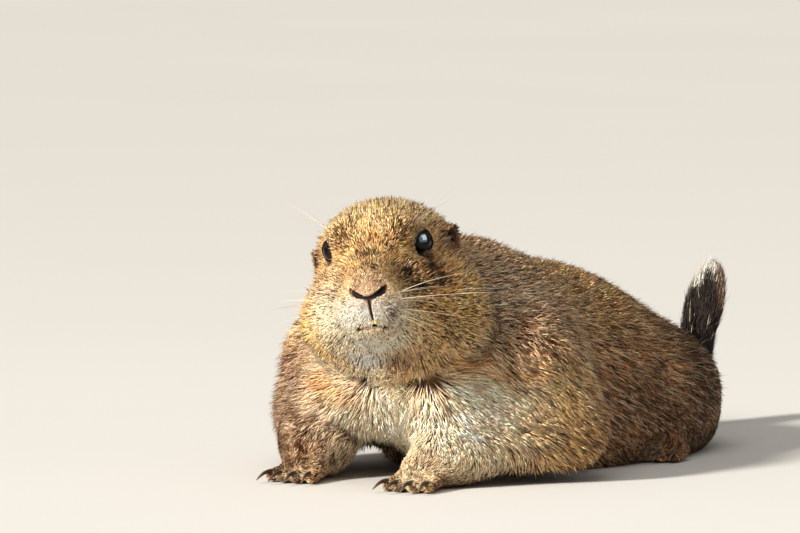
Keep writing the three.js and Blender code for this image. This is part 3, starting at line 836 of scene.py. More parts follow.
def tinted_material(name, roughness, scale, contrast, bump=0.0, specular=0.35):
    """A finish whose colour is the piece's own tint under hair grain, with the grain as a bump where wanted."""
    material = bpy.data.materials.new(name)
    material.use_nodes = True
    nodes, links = material.node_tree.nodes, material.node_tree.links
    shader = nodes["Principled BSDF"]
    shader.inputs["Roughness"].default_value = roughness
    shader.inputs["Specular IOR Level"].default_value = specular
    place, grain = nodes.new("ShaderNodeTexCoord"), nodes.new("ShaderNodeGroup")
    grain.node_tree = grain_group()
    grain.inputs["Scale"].default_value = scale
    grain.inputs["Contrast"].default_value = contrast
    links.new(place.outputs["Object"], grain.inputs["Place"])
    tint, product = nodes.new("ShaderNodeAttribute"), nodes.new("ShaderNodeVectorMath")
    tint.attribute_name = "tint"
    product.operation = "SCALE"
    links.new(tint.outputs["Color"], product.inputs[0])
    links.new(grain.outputs["Shade"], product.inputs["Scale"])
    links.new(product.outputs[0], shader.inputs["Base Color"])
    if bump:
        relief = nodes.new("ShaderNodeBump")
        relief.inputs["Strength"].default_value = bump
        relief.inputs["Distance"].default_value = 0.0004
        links.new(grain.outputs["Height"], relief.inputs["Height"])
        links.new(relief.outputs["Normal"], shader.inputs["Normal"])
    return material


# The coat


# Whorls of the chest and the left arm: (middle, reach, strength)
WHORLS = (((21.8, -110.9, 41.1), 17, 2.4), ((-3.4, -114.3, 39.7), 15, 2.4), ((28.6, -115.0, 20.5), 8, 0.8))
# Sweep of the hair on each arm: (middle, radii, way on the front, side that faces the other arm)
ARMS = (
    ((48, -92, 30), (26, 32, 21), (0.72, 0.34, -0.5), -1),
    ((-38, -100, 30), (26, 32, 24), (-0.85, 0.05, -0.42), 1),
)


def flattened(way, normal):
    """The part of each direction that lies in the surface with that normal, with length 1."""
    return unit(way - normal * np.einsum("ij,ij->i", way, normal)[:, None])


def lie_of_coat(p, normal):
    """The way the hair points, along a surface with that normal: away from the nose and the eyes on the head, back
    and down along the body, down and outwards on the arms, away from the whorls on the chest, forwards on the paws,
    and out along the tail."""
    q = to_head(p)
    on_head = unit(q - vec(FACE_MIDDLE, -28, -22)) + vec(0, 0.4, 0)
    for s in SIDES:
        out = q - EYE_AT[s]
        on_head = on_head + unit(out) * (1.6 * smooth(10, 6.5, length(out)))[:, None]
    on_head = on_head @ HEAD_TURN.T

    back, up = p[:, 1], p[:, 2]
    across = (p[:, 0] / 60).clip(-1, 1)
    way = np.stack([0.12 * across, np.ones(len(p)), -0.75 * np.abs(across) - 0.02], 1)
    on_chest = np.stack([0.3 * across, 0.1 + 0 * across, -1 + 0 * across], 1)
    way = laid(way, on_chest, smooth(-62, -94, back) * smooth(70, 50, up))
    for s in SIDES:
        way = way + vec(0.9 * s, -0.45, 0.1) * near(p, (s * 44, -86, 58), (22, 24, 26))[:, None]
    for middle, radii, sweep, inward in ARMS:
        inner = smooth(-0.15, 0.55, inward * normal[:, 0])
        on_arm = laid(vec(*sweep), vec(0.15 * inward, -0.75, -0.6), inner)
        way = laid(way, on_arm, 1.4 * near(p, middle, radii))
    low = (smooth(24, 10, up) * smooth(-70, -90, back))[:, None]
    way = way * (1 - 0.7 * low) + vec(0, -0.4, -0.85) * 0.7 * low
    for whorl, reach, strength in WHORLS:
        out = p - vec(*whorl)
        away = np.maximum(length(out), 1e-3)
        way = way + (out / away[:, None]) * (strength * np.exp(-((away / reach) ** 2)))[:, None]
    way = laid(way, vec(0, -1, -0.25), 1 - smooth(0, 10, paw_distance(p)))
    raised_tail = smooth(128, 140, back + 0.4 * (up - TAIL_BEND[2]))
    way = laid(way, laid(vec(0, 1, 0.05), unit(TAIL_TIP - TAIL_BEND), raised_tail), smooth(100, 112, back))
    way = laid(way, on_head, head_share(q))
    for seed, axis in enumerate(np.eye(3, dtype=F)):
        way = way + axis * (0.20 * wander(p, 17, 30 + seed) + 0.13 * wander(p, 6, 40 + seed))[:, None]
    return flattened(way, normal).astype(F)


def hair_length(p, q):
    """Millimetres: short round nose, eyes and feet, longer on cheeks and crown, longest on chest, neck and tail."""
    face = 1.7 + 3.6 * smooth(6, 60, length(q - NOSE)) + 1.6 * smooth(4, 30, q[:, 1]) * smooth(0, -14, q[:, 2])
    face = raised(q, face, (0.7, (FACE_MIDDLE, -28, -30), (13, 12, 7)), (4.5, (-1, -12, -38), (14, 14, 7)))
    face = np.minimum(face, 1.1 + 4.2 * smooth(*SHORT_ROUND_EYE, eye_distance(q)))
    face = face * (1 - 0.4 * near(q, (FACE_MIDDLE, -32, -15), (8, 6, 5)))
    body = 10 + 4 * near(p, (8, -104, 36), (52, 24, 26))
    body = body - 7.6 * (1 - smooth(1, 18, paw_distance(p)))
    tail = smooth(104, 124, p[:, 1])
    brush = (15 - 6 * smooth(46, 66, p[:, 2])) * (0.5 + 0.5 * smooth(22, 40, p[:, 2]))
    body = body * (1 - tail) + brush * tail
    share = head_share(q)
    return face * share + body * (1 - share)


def bare(p, q, normal):
    """True where no hair grows: eyes and lid rims, ears, nostrils, lips, and the underside that rests."""
    lids = np.logical_or.reduce([(length(q - EYE_AT[s]) < 8.5) & (lid_distance(q, s) < 0.25) for s in SIDES])
    rests = (p[:, 2] < 1.2) | ((normal[:, 2] < -0.75) & (p[:, 2] < 14))
    return lids | in_ear(q) | (groove_distance(q) < 0.2) | rests


def rooted(points, faces, density, rng):
    """Random places on a mesh of quads: each face gets its area times the density there, shared out along the list of
    faces so that none is crowded, and a point in one of its two triangles."""
    triangles = np.concatenate([faces[:, [0, 1, 2]], faces[:, [0, 2, 3]]])
    a, b, c = (points[triangles[:, k]] for k in range(3))
    area = length(np.cross(b - a, c - a)) / 2
    wanted = np.cumsum(area * density((a + b + c) / 3))
    n = int(wanted[-1])
    chosen = np.searchsorted(wanted, np.arange(n) + rng.uniform(0, 1, n))
    chosen = np.minimum(chosen, len(triangles) - 1)
    u, v = rng.uniform(0, 1, (2, n)).astype(F)
    over = u + v > 1
    u[over], v[over] = 1 - u[over], 1 - v[over]
    return a[chosen] + (b - a)[chosen] * u[:, None] + (c - a)[chosen] * v[:, None]


def locks(roots, size, seed):
    """The number of each root's lock: the roots are sorted into the boxes of a lattice bent by a slow wander."""
    bent = roots + np.stack([wander(roots, size * 5, seed + k) for k in range(3)], 1) * size * 0.8
    box = np.floor(bent / size).astype(np.int64)
    boxes = 4093  # more than the boxes along any side
    return np.unique((box[:, 0] * boxes + box[:, 1]) * boxes + box[:, 2], return_inverse=True)[1]


def gathered(roots, tips, size, pull, seed):
    """Tips drawn together in locks: each moves a share of the way to the mean place of its lock's tips, and keeps its
    own length."""
    key = locks(roots, size, seed)
    members = np.bincount(key).astype(F)
    mean = np.stack([np.bincount(key, tips[:, k]) for k in range(3)], 1) / members[:, None]
    reach = length(tips - roots)[:, None]
    drawn = tips + (mean[key] - tips) * pull[:, None]
    return (roots + unit(drawn - roots) * reach).astype(F)


def hair_colours(p, rng, lock_size=1.2):
    """Root, middle and tip of each hair: dark and warm at the root, partly the hair's own dark base and partly
    painted shade between the hairs, then the marking's tint, then a tip that is dark on ticked hairs, near white on
    pale ones and a little lighter than the tint on the rest. Whole locks are lighter or darker, and more or less
    ticked, than their neighbours."""
    tint, dark, pale = markings(p)
    n = len(p)
    lock = locks(p, lock_size, 80)
    count = lock.max() + 1
    shade, share = rng.normal(0, 0.3, count)[lock], rng.uniform(0.3, 1.7, count)[lock]
    tint = tint * np.exp(rng.normal(0, 0.24, n) + shade)[:, None] * (1 + rng.normal(0, 0.05, (n, 3)))
    pick = rng.uniform(0, 1, n)
    ticked = (pick < dark * share)[:, None]
    lit = (pick > 1 - pale)[:, None]
    # Dark roots: partly the hair's own base, partly painted shade between the hairs.
    root = tint * vec(0.40, 0.27, 0.18) * rng.uniform(0.5, 1.2, (n, 1))
    middle = np.where(ticked, tint * 0.25 + UMBER * 0.25, np.where(lit, tint * 0.8 + CREAM * 0.3, tint))
    soot = UMBER * rng.uniform(0.15, 0.6, (n, 1))
    tip = np.where(ticked, soot, np.where(lit, tint * 0.2 + CREAM * 0.9, tint * 1.3))
    return [np.clip(part, 0, 0.95).astype(F) for part in (root, middle, tip)]


def unwrapped(p, around):
    """Each root's place on an unwrap of the skin: the angle round the long axis of head, body or tail, and the
    distance along it, both stretched to fill the map but for the width of a patch."""
    if around == "head":
        q = to_head(p) - vec(0, 6, -14)
        u, v = np.arctan2(q[:, 0], q[:, 2]), np.arctan2(q[:, 1], np.hypot(q[:, 0], q[:, 2]))
    elif around == "tail":
        u = np.arctan2(p[:, 0] - 8, p[:, 1] - TAIL_LEAN * (p[:, 2] - TAIL_BEND[2]) - TAIL_BEND[1])
        v = p[:, 2] * 0.9 + p[:, 1] * 0.5
    else:
        u, v = np.arctan2(p[:, 0], p[:, 2] - 14), p[:, 1]
    places = np.stack([u, v], 1)
    low, high = places.min(0), places.max(0)
    return (UV_EDGE + (places - low) / np.maximum(high - low, 1e-6) * UV_ROOM).astype(F)


PATCH = 0.003  # width of a hair's patch of the map
UV_EDGE, UV_ROOM = 0.002, 0.992  # the map's margin, and the width left for the patches' corners
MOST_TRIANGLES = 196_000  # in a piece
# Faces of one hair: its root is point 0, the ring round its middle 1 to 3, its tip 4
HAIR = np.array([face for k in range(3) for face in ((0, 1 + (k + 1) % 3, 1 + k), (1 + k, 1 + (k + 1) % 3, 4))])
# Where each corner of those faces lies in the hair's patch: the turn round the hair, and the way from root to tip
HAIR_PATCH = np.array([spot for k in range(3) for spot in (
    ((k + 0.5) / 3, 0), ((k + 1) / 3, 0.45), (k / 3, 0.45),
    (k / 3, 0.45), ((k + 1) / 3, 0.45), ((k + 0.5) / 3, 1))], F)


def hair_mesh(root, middle, tip, wide, thin, normal, colours):
    """Points, faces and colours of hairs, each two three-sided spikes end to end: a root, a ring of three points
    round the middle that is wide along the skin and thin away from it, and a tip."""
    ahead = unit(tip - root)
    side = unit(np.cross(ahead, normal))
    over = np.cross(side, ahead)
    ring = [middle + side * (math.cos(a) * wide)[:, None] + over * (math.sin(a) * thin)[:, None]
            for a in (math.pi / 6, math.pi * 5 / 6, math.pi * 3 / 2)]
    points = np.stack([root, *ring, tip], 1)
    faces = HAIR[None] + (np.arange(len(root)) * 5)[:, None, None]
    tints = np.stack([colours[0], colours[1], colours[1], colours[1], colours[2]], 1)
    points = points.reshape(-1, 3)
    points[:, 2] = np.maximum(points[:, 2], HAIR_REST)
    return points, faces.reshape(-1, 3), tints.reshape(-1, 3)


GUARD_SHARE, STRAY_SHARE = 0.33, 0.03  # of all hairs
RUFFLED = ((-56, -92, 46), (18, 28, 40))  # middle and radii of the far arm and cheek, where more strays stand up
ROOT_DEPTH = 0.35  # roots go this far below the skin


def lay_coat(name, roots, rng, material, around, width, clump, pull, lift, rough):
    """Hairs on the given roots, as pieces of fewer than 200,000 triangles. Each hair leaves the skin at a slant that
    grows with lift, bends over at half its length and ends near the top of the coat, give or take rough. Tips are
    pulled together in locks the size of a clump. A third lie along the top for half their length, and a few strays
    stand higher, more of them on the far arm and cheek."""

    def top(p):
        """The top of the coat."""
        return coat_top(p, to_head(p))

    normal = unit(slope(top, roots))
    q = to_head(roots)
    keep = ~bare(roots, q, normal)
    roots, normal, q = roots[keep], normal[keep], q[keep]
    n = len(roots)
    thick = coat_thickness(roots, q)
    way = flattened(lie_of_coat(roots, unit(slope(outline, roots, 3.0))), normal)
    way = unit(way + np.cross(normal, way) * rng.normal(0, 0.15, (n, 1)))
    reach = hair_length(roots, q) * rng.uniform(0.7, 1.2, n)
    direction = unit(way + normal * (thick / reach * lift)[:, None])
    tip = roots + direction * reach[:, None]
    tip = gathered(roots, tip, clump, np.clip(rng.normal(pull, 0.15, n), 0, 0.85), 60)
    level = rng.normal(-0.1, rough, n)
    ruffled = near(roots, *RUFFLED)
    stray = rng.uniform(0, 1, n) < STRAY_SHARE + 0.2 * ruffled
    level[stray] = (0.1 + (1.4 / (2 + thick) + 0.4 * ruffled) * rng.uniform(0, 1, n))[stray]
    tip = settled(top, tip, level * thick, passes=2, reach=3.0)
    middle = roots * 0.48 + tip * 0.52 + normal * (0.09 * reach)[:, None]
    guard = rng.uniform(0, 1, n) < GUARD_SHARE
    depth = np.where(guard, rng.uniform(0.0, 0.2, n), rng.uniform(0.2, 0.6, n))
    middle = settled(top, middle, -depth * thick, passes=1, reach=2.5)
    wide = width * rng.uniform(0.75, 1.25, n) * np.clip(reach / 4.0, 0.5, 1.15) / 2
    colours = hair_colours(roots * 0.45 + tip * 0.55, rng, clump * 0.7)
    order = np.argsort(q[:, 0] if around == "head" else roots[:, 1], kind="stable")
    chunks = np.array_split(order, max(1, math.ceil(n * len(HAIR) / MOST_TRIANGLES)))
    made = []
    for i, pick in enumerate(chunks):
        root = (roots - normal * ROOT_DEPTH)[pick]
        points, faces, tints = hair_mesh(root, middle[pick], tip[pick], wide[pick], wide[pick] * 0.5, normal[pick],
                                         [colour[pick] for colour in colours])
        uv = unwrapped(roots[pick], around)[:, None] + HAIR_PATCH[None] * PATCH
        label = name if len(chunks) == 1 else f"{name}_{i + 1}"
        made.append(make_piece(label, points, faces, material, tints, uv.reshape(-1, 2)))
    print(name, n, "hairs,", sum(len(piece.data.polygons) for piece in made), "triangles in", len(made))
    return made


def skin_arrays():
    """Points and faces of the finished skin, back in the modeller's space."""
    skin = bpy.data.objects.get("skin")
    if skin is None:
        raise RuntimeError("make the skin before the coat")
    points = np.empty(len(skin.data.vertices) * 3, F)
    skin.data.vertices.foreach_get("co", points)
    faces = np.empty(len(skin.data.polygons) * 4, np.int32)
    skin.data.loops.foreach_get("vertex_index", faces)
    return points.reshape(-1, 3) * 1000 - FRAME_SHIFT, faces.reshape(-1, 4)


# Settings


class SkinSettings(bpy.types.PropertyGroup):
    fine: bpy.props.FloatProperty(
        name="Head cell", description="Grid spacing of the skin on the head, in millimetres",
        default=0.95, min=0.5, max=3.0)
    coarse: bpy.props.FloatProperty(
        name="Body cell", description="Grid spacing of the skin on the body, in millimetres",
        default=1.8, min=1.0, max=6.0)


class CoatSettings(bpy.types.PropertyGroup):
    face_density: bpy.props.FloatProperty(
        name="Face hairs", description="Hairs to a square millimetre at the nose",
        default=12.0, min=0.1, max=20)
    head_density: bpy.props.FloatProperty(
        name="Head hairs", description="Hairs to a square millimetre on crown and cheeks",
        default=8.0, min=0.1, max=12)
    body_density: bpy.props.FloatProperty(
        name="Body hairs", description="Hairs to a square millimetre on the body",
        default=1.8, min=0.1, max=6)
    head_width: bpy.props.FloatProperty(
        name="Head hair width", description="Width of a tuft on the head, in millimetres",
        default=0.42, min=0.1, max=2)
    body_width: bpy.props.FloatProperty(
        name="Body hair width", description="Width of a tuft on the body, in millimetres",
        default=0.46, min=0.1, max=2)
    roughness: bpy.props.FloatProperty(
        name="Roughness", description="Roughness of the hair",
        default=0.55, min=0, max=1, subtype="FACTOR")


class FaceSettings(bpy.types.PropertyGroup):
    eye_colour: bpy.props.FloatVectorProperty(
        name="Eye", description="Colour of the eye round its pupil",
        default=(0.012, 0.007, 0.005), size=3, min=0, max=1, subtype="COLOR")
    lid_colour: bpy.props.FloatVectorProperty(
        name="Lid rim", description="Colour of the bare rim of the lids",
        default=(0.006, 0.005, 0.005), size=3, min=0, max=1, subtype="COLOR")
    tooth_colour: bpy.props.FloatVectorProperty(
        name="Teeth", description="Colour of the incisors",
        default=(0.72, 0.56, 0.22), size=3, min=0, max=1, subtype="COLOR")
    nose_cell: bpy.props.FloatProperty(
        name="Nose cell", description="Grid spacing of nose and lips, in millimetres",
        default=0.34, min=0.2, max=1.5)
    muzzle_density: bpy.props.FloatProperty(
        name="Muzzle hairs", description="Hairs to a square millimetre of the muzzle",
        default=15, min=0.1, max=30)
    whiskers: bpy.props.IntProperty(
        name="Whiskers", description="Whiskers on each side of the muzzle",
        default=10, min=0, max=40)


class ClawSettings(bpy.types.PropertyGroup):
    root_radius: bpy.props.FloatProperty(
        name="Claw radius", description="Radius of a claw at its root",
        default=0.0011, min=0.0003, max=0.003, unit="LENGTH", subtype="DISTANCE")
    curl: bpy.props.FloatProperty(
        name="Curl", description="How far a claw arches over the line from root to tip",
        default=0.0014, min=0, max=0.004, unit="LENGTH", subtype="DISTANCE")


class StageSettings(bpy.types.PropertyGroup):
    azimuth: bpy.props.FloatProperty(
        name="Azimuth", description="Camera's turn from the front to the animal's left",
        default=math.radians(30), subtype="ANGLE")
    elevation: bpy.props.FloatProperty(
        name="Elevation", description="Camera's height angle",
        default=math.radians(5), subtype="ANGLE")
    distance: bpy.props.FloatProperty(
        name="Distance", description="From the camera to the head",
        default=3.0, unit="LENGTH", subtype="DISTANCE")
    floor_colour: bpy.props.FloatVectorProperty(
        name="Floor", description="Colour of the floor",
        default=(0.62, 0.61, 0.59), size=3, min=0, max=1, subtype="COLOR")
    key_strength: bpy.props.FloatProperty(
        name="Key light", description="Strength of the main light",
        default=6.2)
    key_softness: bpy.props.FloatProperty(
        name="Key softness", description="Angle that the main light fills",
        default=math.radians(9), subtype="ANGLE")
    key_azimuth: bpy.props.FloatProperty(
        name="Key azimuth", description="Main light's turn from the front to the left",
        default=math.radians(-22), subtype="ANGLE")
    key_elevation: bpy.props.FloatProperty(
        name="Key elevation", description="Main light's height angle",
        default=math.radians(28), subtype="ANGLE")
    fill_power: bpy.props.FloatProperty(
        name="Fill light", description="Power of the second lamp",
        default=8, unit="POWER")
    glint_power: bpy.props.FloatProperty(
        name="Eye light", description="Power of the lamps that only shine in the eyes",
        default=240, unit="POWER")


# Operators


# The picture: its scale at the head, its width and middle, and the place of the head's middle in it, in pixels
PIXELS_TO_METRE = 2600.0
PICTURE_WIDTH, PICTURE_MIDDLE = 800.0, (400.0, 266.5)
HEAD_IN_PICTURE = (374.5, 246.0)
FLOOR_REACH, FLOOR_LINES = 6.0, 9  # metres from the middle, and grid lines from side to side
# Lamps that only shine in the eyes: (azimuth and elevation in degrees, size, share of the power, colour)
EYE_LAMPS = (
    ((66, 26), (1.6, 1.9), 0.62, (0.45, 0.86, 1.0)),
    ((78, 36), (0.8, 0.8), 0.38, (0.9, 0.97, 1.0)),
)


def away_at(azimuth, elevation):
    """The direction at a turn from the front to the animal's left, and at a height angle."""
    flat = math.cos(elevation)
    return np.array([math.sin(azimuth) * flat, -math.cos(azimuth) * flat, math.sin(elevation)])


class OBJECT_OT_lay_stage(bpy.types.Operator):
    """Set up the pale floor, the soft lights and the camera"""

    bl_idname = "prairie_dog.lay_stage"
    bl_label = "Stage"

    def execute(self, context):
        made = context.scene.prairie_dog_stage
        self.lay_floor(np.array(made.floor_colour))
        self.hang_lights(context, made)
        self.set_camera(context, made)
        return {"FINISHED"}

    def lay_floor(self, colour):
        """A square floor whose colour goes 3 percent up and down in broad patches."""
        line = np.linspace(-FLOOR_REACH, FLOOR_REACH, FLOOR_LINES)
        x, y = np.meshgrid(line, line, indexing="ij")
        points = np.stack([x, y, 0 * x], -1).reshape(-1, 3)
        faces = grid_faces(FLOOR_LINES, FLOOR_LINES, closed_columns=False)[:, ::-1]
        mesh = bpy.data.meshes.new("floor")
        mesh.from_pydata(points.tolist(), [], faces.tolist())
        floor = placed("floor", mesh)
        material = bpy.data.materials.new("floor")
        material.use_nodes = True
        nodes, links = material.node_tree.nodes, material.node_tree.links
        shader = nodes["Principled BSDF"]
        shader.inputs["Roughness"].default_value = 0.8
        place, noise, ramp = (nodes.new(f"ShaderNode{kind}") for kind in ("TexCoord", "TexNoise", "ValToRGB"))
        noise.inputs["Scale"].default_value = 3.0
        links.new(place.outputs["Object"], noise.inputs["Vector"])
        links.new(noise.outputs["Fac"], ramp.inputs["Fac"])
        ramp.color_ramp.elements[0].color = (*(colour * 0.97), 1)
        ramp.color_ramp.elements[1].color = (*np.minimum(colour * 1.03, 1), 1)
        links.new(ramp.outputs["Color"], shader.inputs["Base Color"])
        mesh.materials.append(material)

    def hang_lights(self, context, made):
        """A pale backdrop, a low warm sun, a fill from above and the lamps for the eyes."""
        world = bpy.data.worlds.new("studio")
        world.use_nodes = True
        backdrop = world.node_tree.nodes["Background"]
        backdrop.inputs["Color"].default_value = (0.97, 0.93, 0.87, 1)
        backdrop.inputs["Strength"].default_value = 0.36
        context.scene.world = world

        sun = bpy.data.lights.new("key", "SUN")
        sun.energy, sun.angle, sun.color = made.key_strength, made.key_softness, (1.0, 0.95, 0.87)
        placed("key", sun).rotation_euler = (math.pi / 2 - made.key_elevation, 0, made.key_azimuth)
        self.hang_lamp("fill", (18, 62), 1.6, (1.0, 1.0), made.fill_power, (1.0, 0.96, 0.9))
        eyes = bpy.data.collections.new("eyes")
        for angles, size, share, colour in EYE_LAMPS:
            glint = self.hang_lamp("eye light", angles, 1.1, size, made.glint_power * share, colour)
            glint.visible_diffuse = False
            glint.light_linking.receiver_collection = eyes
        context.scene.view_settings.view_transform = "Standard"

    def hang_lamp(self, name, angles, distance, size, power, colour):
        """An oblong lamp at an azimuth and elevation, turned to the middle of the animal."""
        azimuth, elevation = map(math.radians, angles)
        light = bpy.data.lights.new(name, "AREA")
        light.shape, light.energy, light.color = "RECTANGLE", power, colour
        light.size, light.size_y = size
        lamp = placed(name, light)
        lamp.location = away_at(azimuth, elevation) * distance + (0, 0, 0.05)
        lamp.rotation_euler = (math.pi / 2 - elevation, 0, azimuth)
        return lamp

    def set_camera(self, context, made):
        """A camera that sees the head at its scale and place in the picture."""
        back = away_at(made.azimuth, made.elevation)
        right = np.array([math.cos(made.azimuth), math.sin(made.azimuth), 0])
        up = np.cross(back, right)
        camera = bpy.data.cameras.new("camera")
        camera.sensor_width = 36
        camera.lens = PIXELS_TO_METRE * made.distance * camera.sensor_width / PICTURE_WIDTH
        camera.clip_end = 50
        across, down = (middle - head for middle, head in zip(PICTURE_MIDDLE, HEAD_IN_PICTURE))
        aim = to_frame(HEAD_AT) + (right * across - up * down) / PIXELS_TO_METRE
        stand = placed("camera", camera)
        stand.location = aim + back * made.distance
        stand.rotation_euler = (math.pi / 2 - made.elevation, 0, made.azimuth)
        context.scene.camera = stand


class OBJECT_OT_make_skin(bpy.types.Operator):
    """Make the one skin of the whole animal, in the same markings as the coat"""

    bl_idname = "prairie_dog.make_skin"
    bl_label = "Skin"

    def execute(self, context):
        made = context.scene.prairie_dog_skin
        fine, coarse = made.fine, made.coarse
        xs = steps(-80, (-32, coarse), (44, fine), (80, coarse))
        ys = steps(-166, (-88, fine), (164, coarse))
        zs = steps(-1, (12, 1.2), (52, coarse), (113, fine))
        points, faces = netted(skin_field, xs, ys, zs)
        points = settled(skin_field, points, passes=2, reach=0.5)
        tint, dark, _ = markings(points)
        # Painted shade: the skin under the coat is darker than the hair, partly as dark underfur, partly as the shade
        # between the hairs.
        tint = tint * UNDERFUR_AND_SHADE * (1 - 0.5 * dark)[:, None]
        q = to_head(points)
        for s in SIDES:
            rim = (length(q - EYE_AT[s]) < 9) * smooth(2.2, 1.0, lid_distance(q, s))
            tint = laid(tint, SOOT * 0.25, rim)
        # Painted shade: the bare hollow of the ears darkened.
        tint = laid(tint, UMBER * 0.2, in_ear(q) * 0.9)
        material = tinted_material("skin", 0.7, 1200.0, 0.6, bump=0.5)
        make_piece("skin", points, faces, material, tint,
                   replaced=["head", "neck", "trunk", *[f"{leg}_{SIDE_NAME[s]}" for leg in FEET for s in SIDES]])
        print("skin", len(faces) * 2, "triangles")
        return {"FINISHED"}


class OBJECT_OT_make_eyes(bpy.types.Operator):
    """Make the eyeballs and the rims of their lids"""

    bl_idname = "prairie_dog.make_eyes"
    bl_label = "Eyes and lids"

    def execute(self, context):
        made = context.scene.prairie_dog_face
        eye = tinted_material("eye", 0.1, 2500.0, 0.8, specular=0.18)
        eye.node_tree.nodes["Principled BSDF"].inputs["IOR"].default_value = 1.376
        lid = tinted_material("lid rim", 0.6, 3000.0, 0.3, bump=0.3, specular=0.1)
        colour = np.array(made.eye_colour, F)
        for s in SIDES:
            points, faces, angle = self.ball(s)
            iris, beyond = (smooth(*map(math.radians, edge), angle) for edge in IRIS_EDGES)
            shade = iris * (1 - 0.7 * beyond)
            ball = make_piece(f"eyeball_{SIDE_NAME[s]}", points, faces, eye, colour * (0.15 + shade[:, None]),
                              replaced=[f"eye_{SIDE_NAME[s]}"])
            bpy.data.collections["eyes"].objects.link(ball)
            points, faces, share = self.rim(s)
            base, _, _ = markings(points)
            tint = laid(np.tile(np.array(made.lid_colour, F), (len(points), 1)), base * 0.28, share)
            make_piece(f"lids_{SIDE_NAME[s]}", points, faces, lid, tint)
        return {"FINISHED"}

    def ball(self, s, rings=48, sides=64):
        """A ball in polar angles round the eye's axis, its radius a bell higher over the cornea. Poles are points.
        Returns points, faces and each point's angle from the axis."""
        out = np.linspace(0, math.pi, rings)[1:-1]
        spin = np.arange(sides) * 2 * math.pi / sides
        out, spin = (grid.ravel() for grid in np.meshgrid(out, spin, indexing="ij"))
        way = np.concatenate([round_axis(s, out, spin), [EYE_AXIS[s], -EYE_AXIS[s]]])
        out = np.concatenate([out, [0, math.pi]])
        radius = EYE_RADIUS - CORNEA_RISE + CORNEA_RISE * np.exp(-((out / CORNEA_WIDTH) ** 2))
        points = from_head((EYE_AT[s] + way * radius[:, None]).astype(F))
        quads = grid_faces(rings - 2, sides)
        j = np.arange(sides)
        first, last = len(way) - 2, len(way) - 1
        end = (rings - 3) * sides
        faces = np.concatenate([quads[:, [0, 2, 1]], quads[:, [0, 3, 2]],
                                np.stack([np.full(sides, first), j, (j + 1) % sides], 1),
                                np.stack([np.full(sides, last), end + (j + 1) % sides, end + j], 1)])
        return points, faces if s > 0 else faces[:, ::-1], out

    def rim(self, s, sides=96):
        """A closed band round the opening. Its outline, carried round the eye's axis, is a loop of (degrees past the
        rim's edge, distance out of the eyeball): up the rim's inner edge, over its rounded margin, out under the
        fur, then back below the skin. Returns points, faces and how far each point wears the fur's colour."""
        loop = np.array([(-RIM_WIDTH + 0.4, -0.5), (-RIM_WIDTH, -0.05), (-RIM_WIDTH + 1.2, 0.2), (-0.6, 0.32),
                         (0, 0.3), (0.6, 0.34), (4, 0.36), (7, 0.2), (10, -0.2), (12, -0.8), (5, -1.0)])
        spin = np.arange(sides) * 2 * math.pi / sides
        out = rim_angle(spin, s)[:, None] + np.radians(loop[None, :, 0])
        radius = np.broadcast_to(EYE_RADIUS + loop[None, :, 1], out.shape)
        way = round_axis(s, out, spin[:, None])
        points = from_head((EYE_AT[s] + way * radius[..., None]).reshape(-1, 3).astype(F))
        share = np.broadcast_to(smooth(1.0, 8.0, loop[:, 0])[None], out.shape).ravel()
        faces = grid_faces(sides, len(loop), closed_rows=True)
        return points, faces if s > 0 else faces[:, ::-1], share


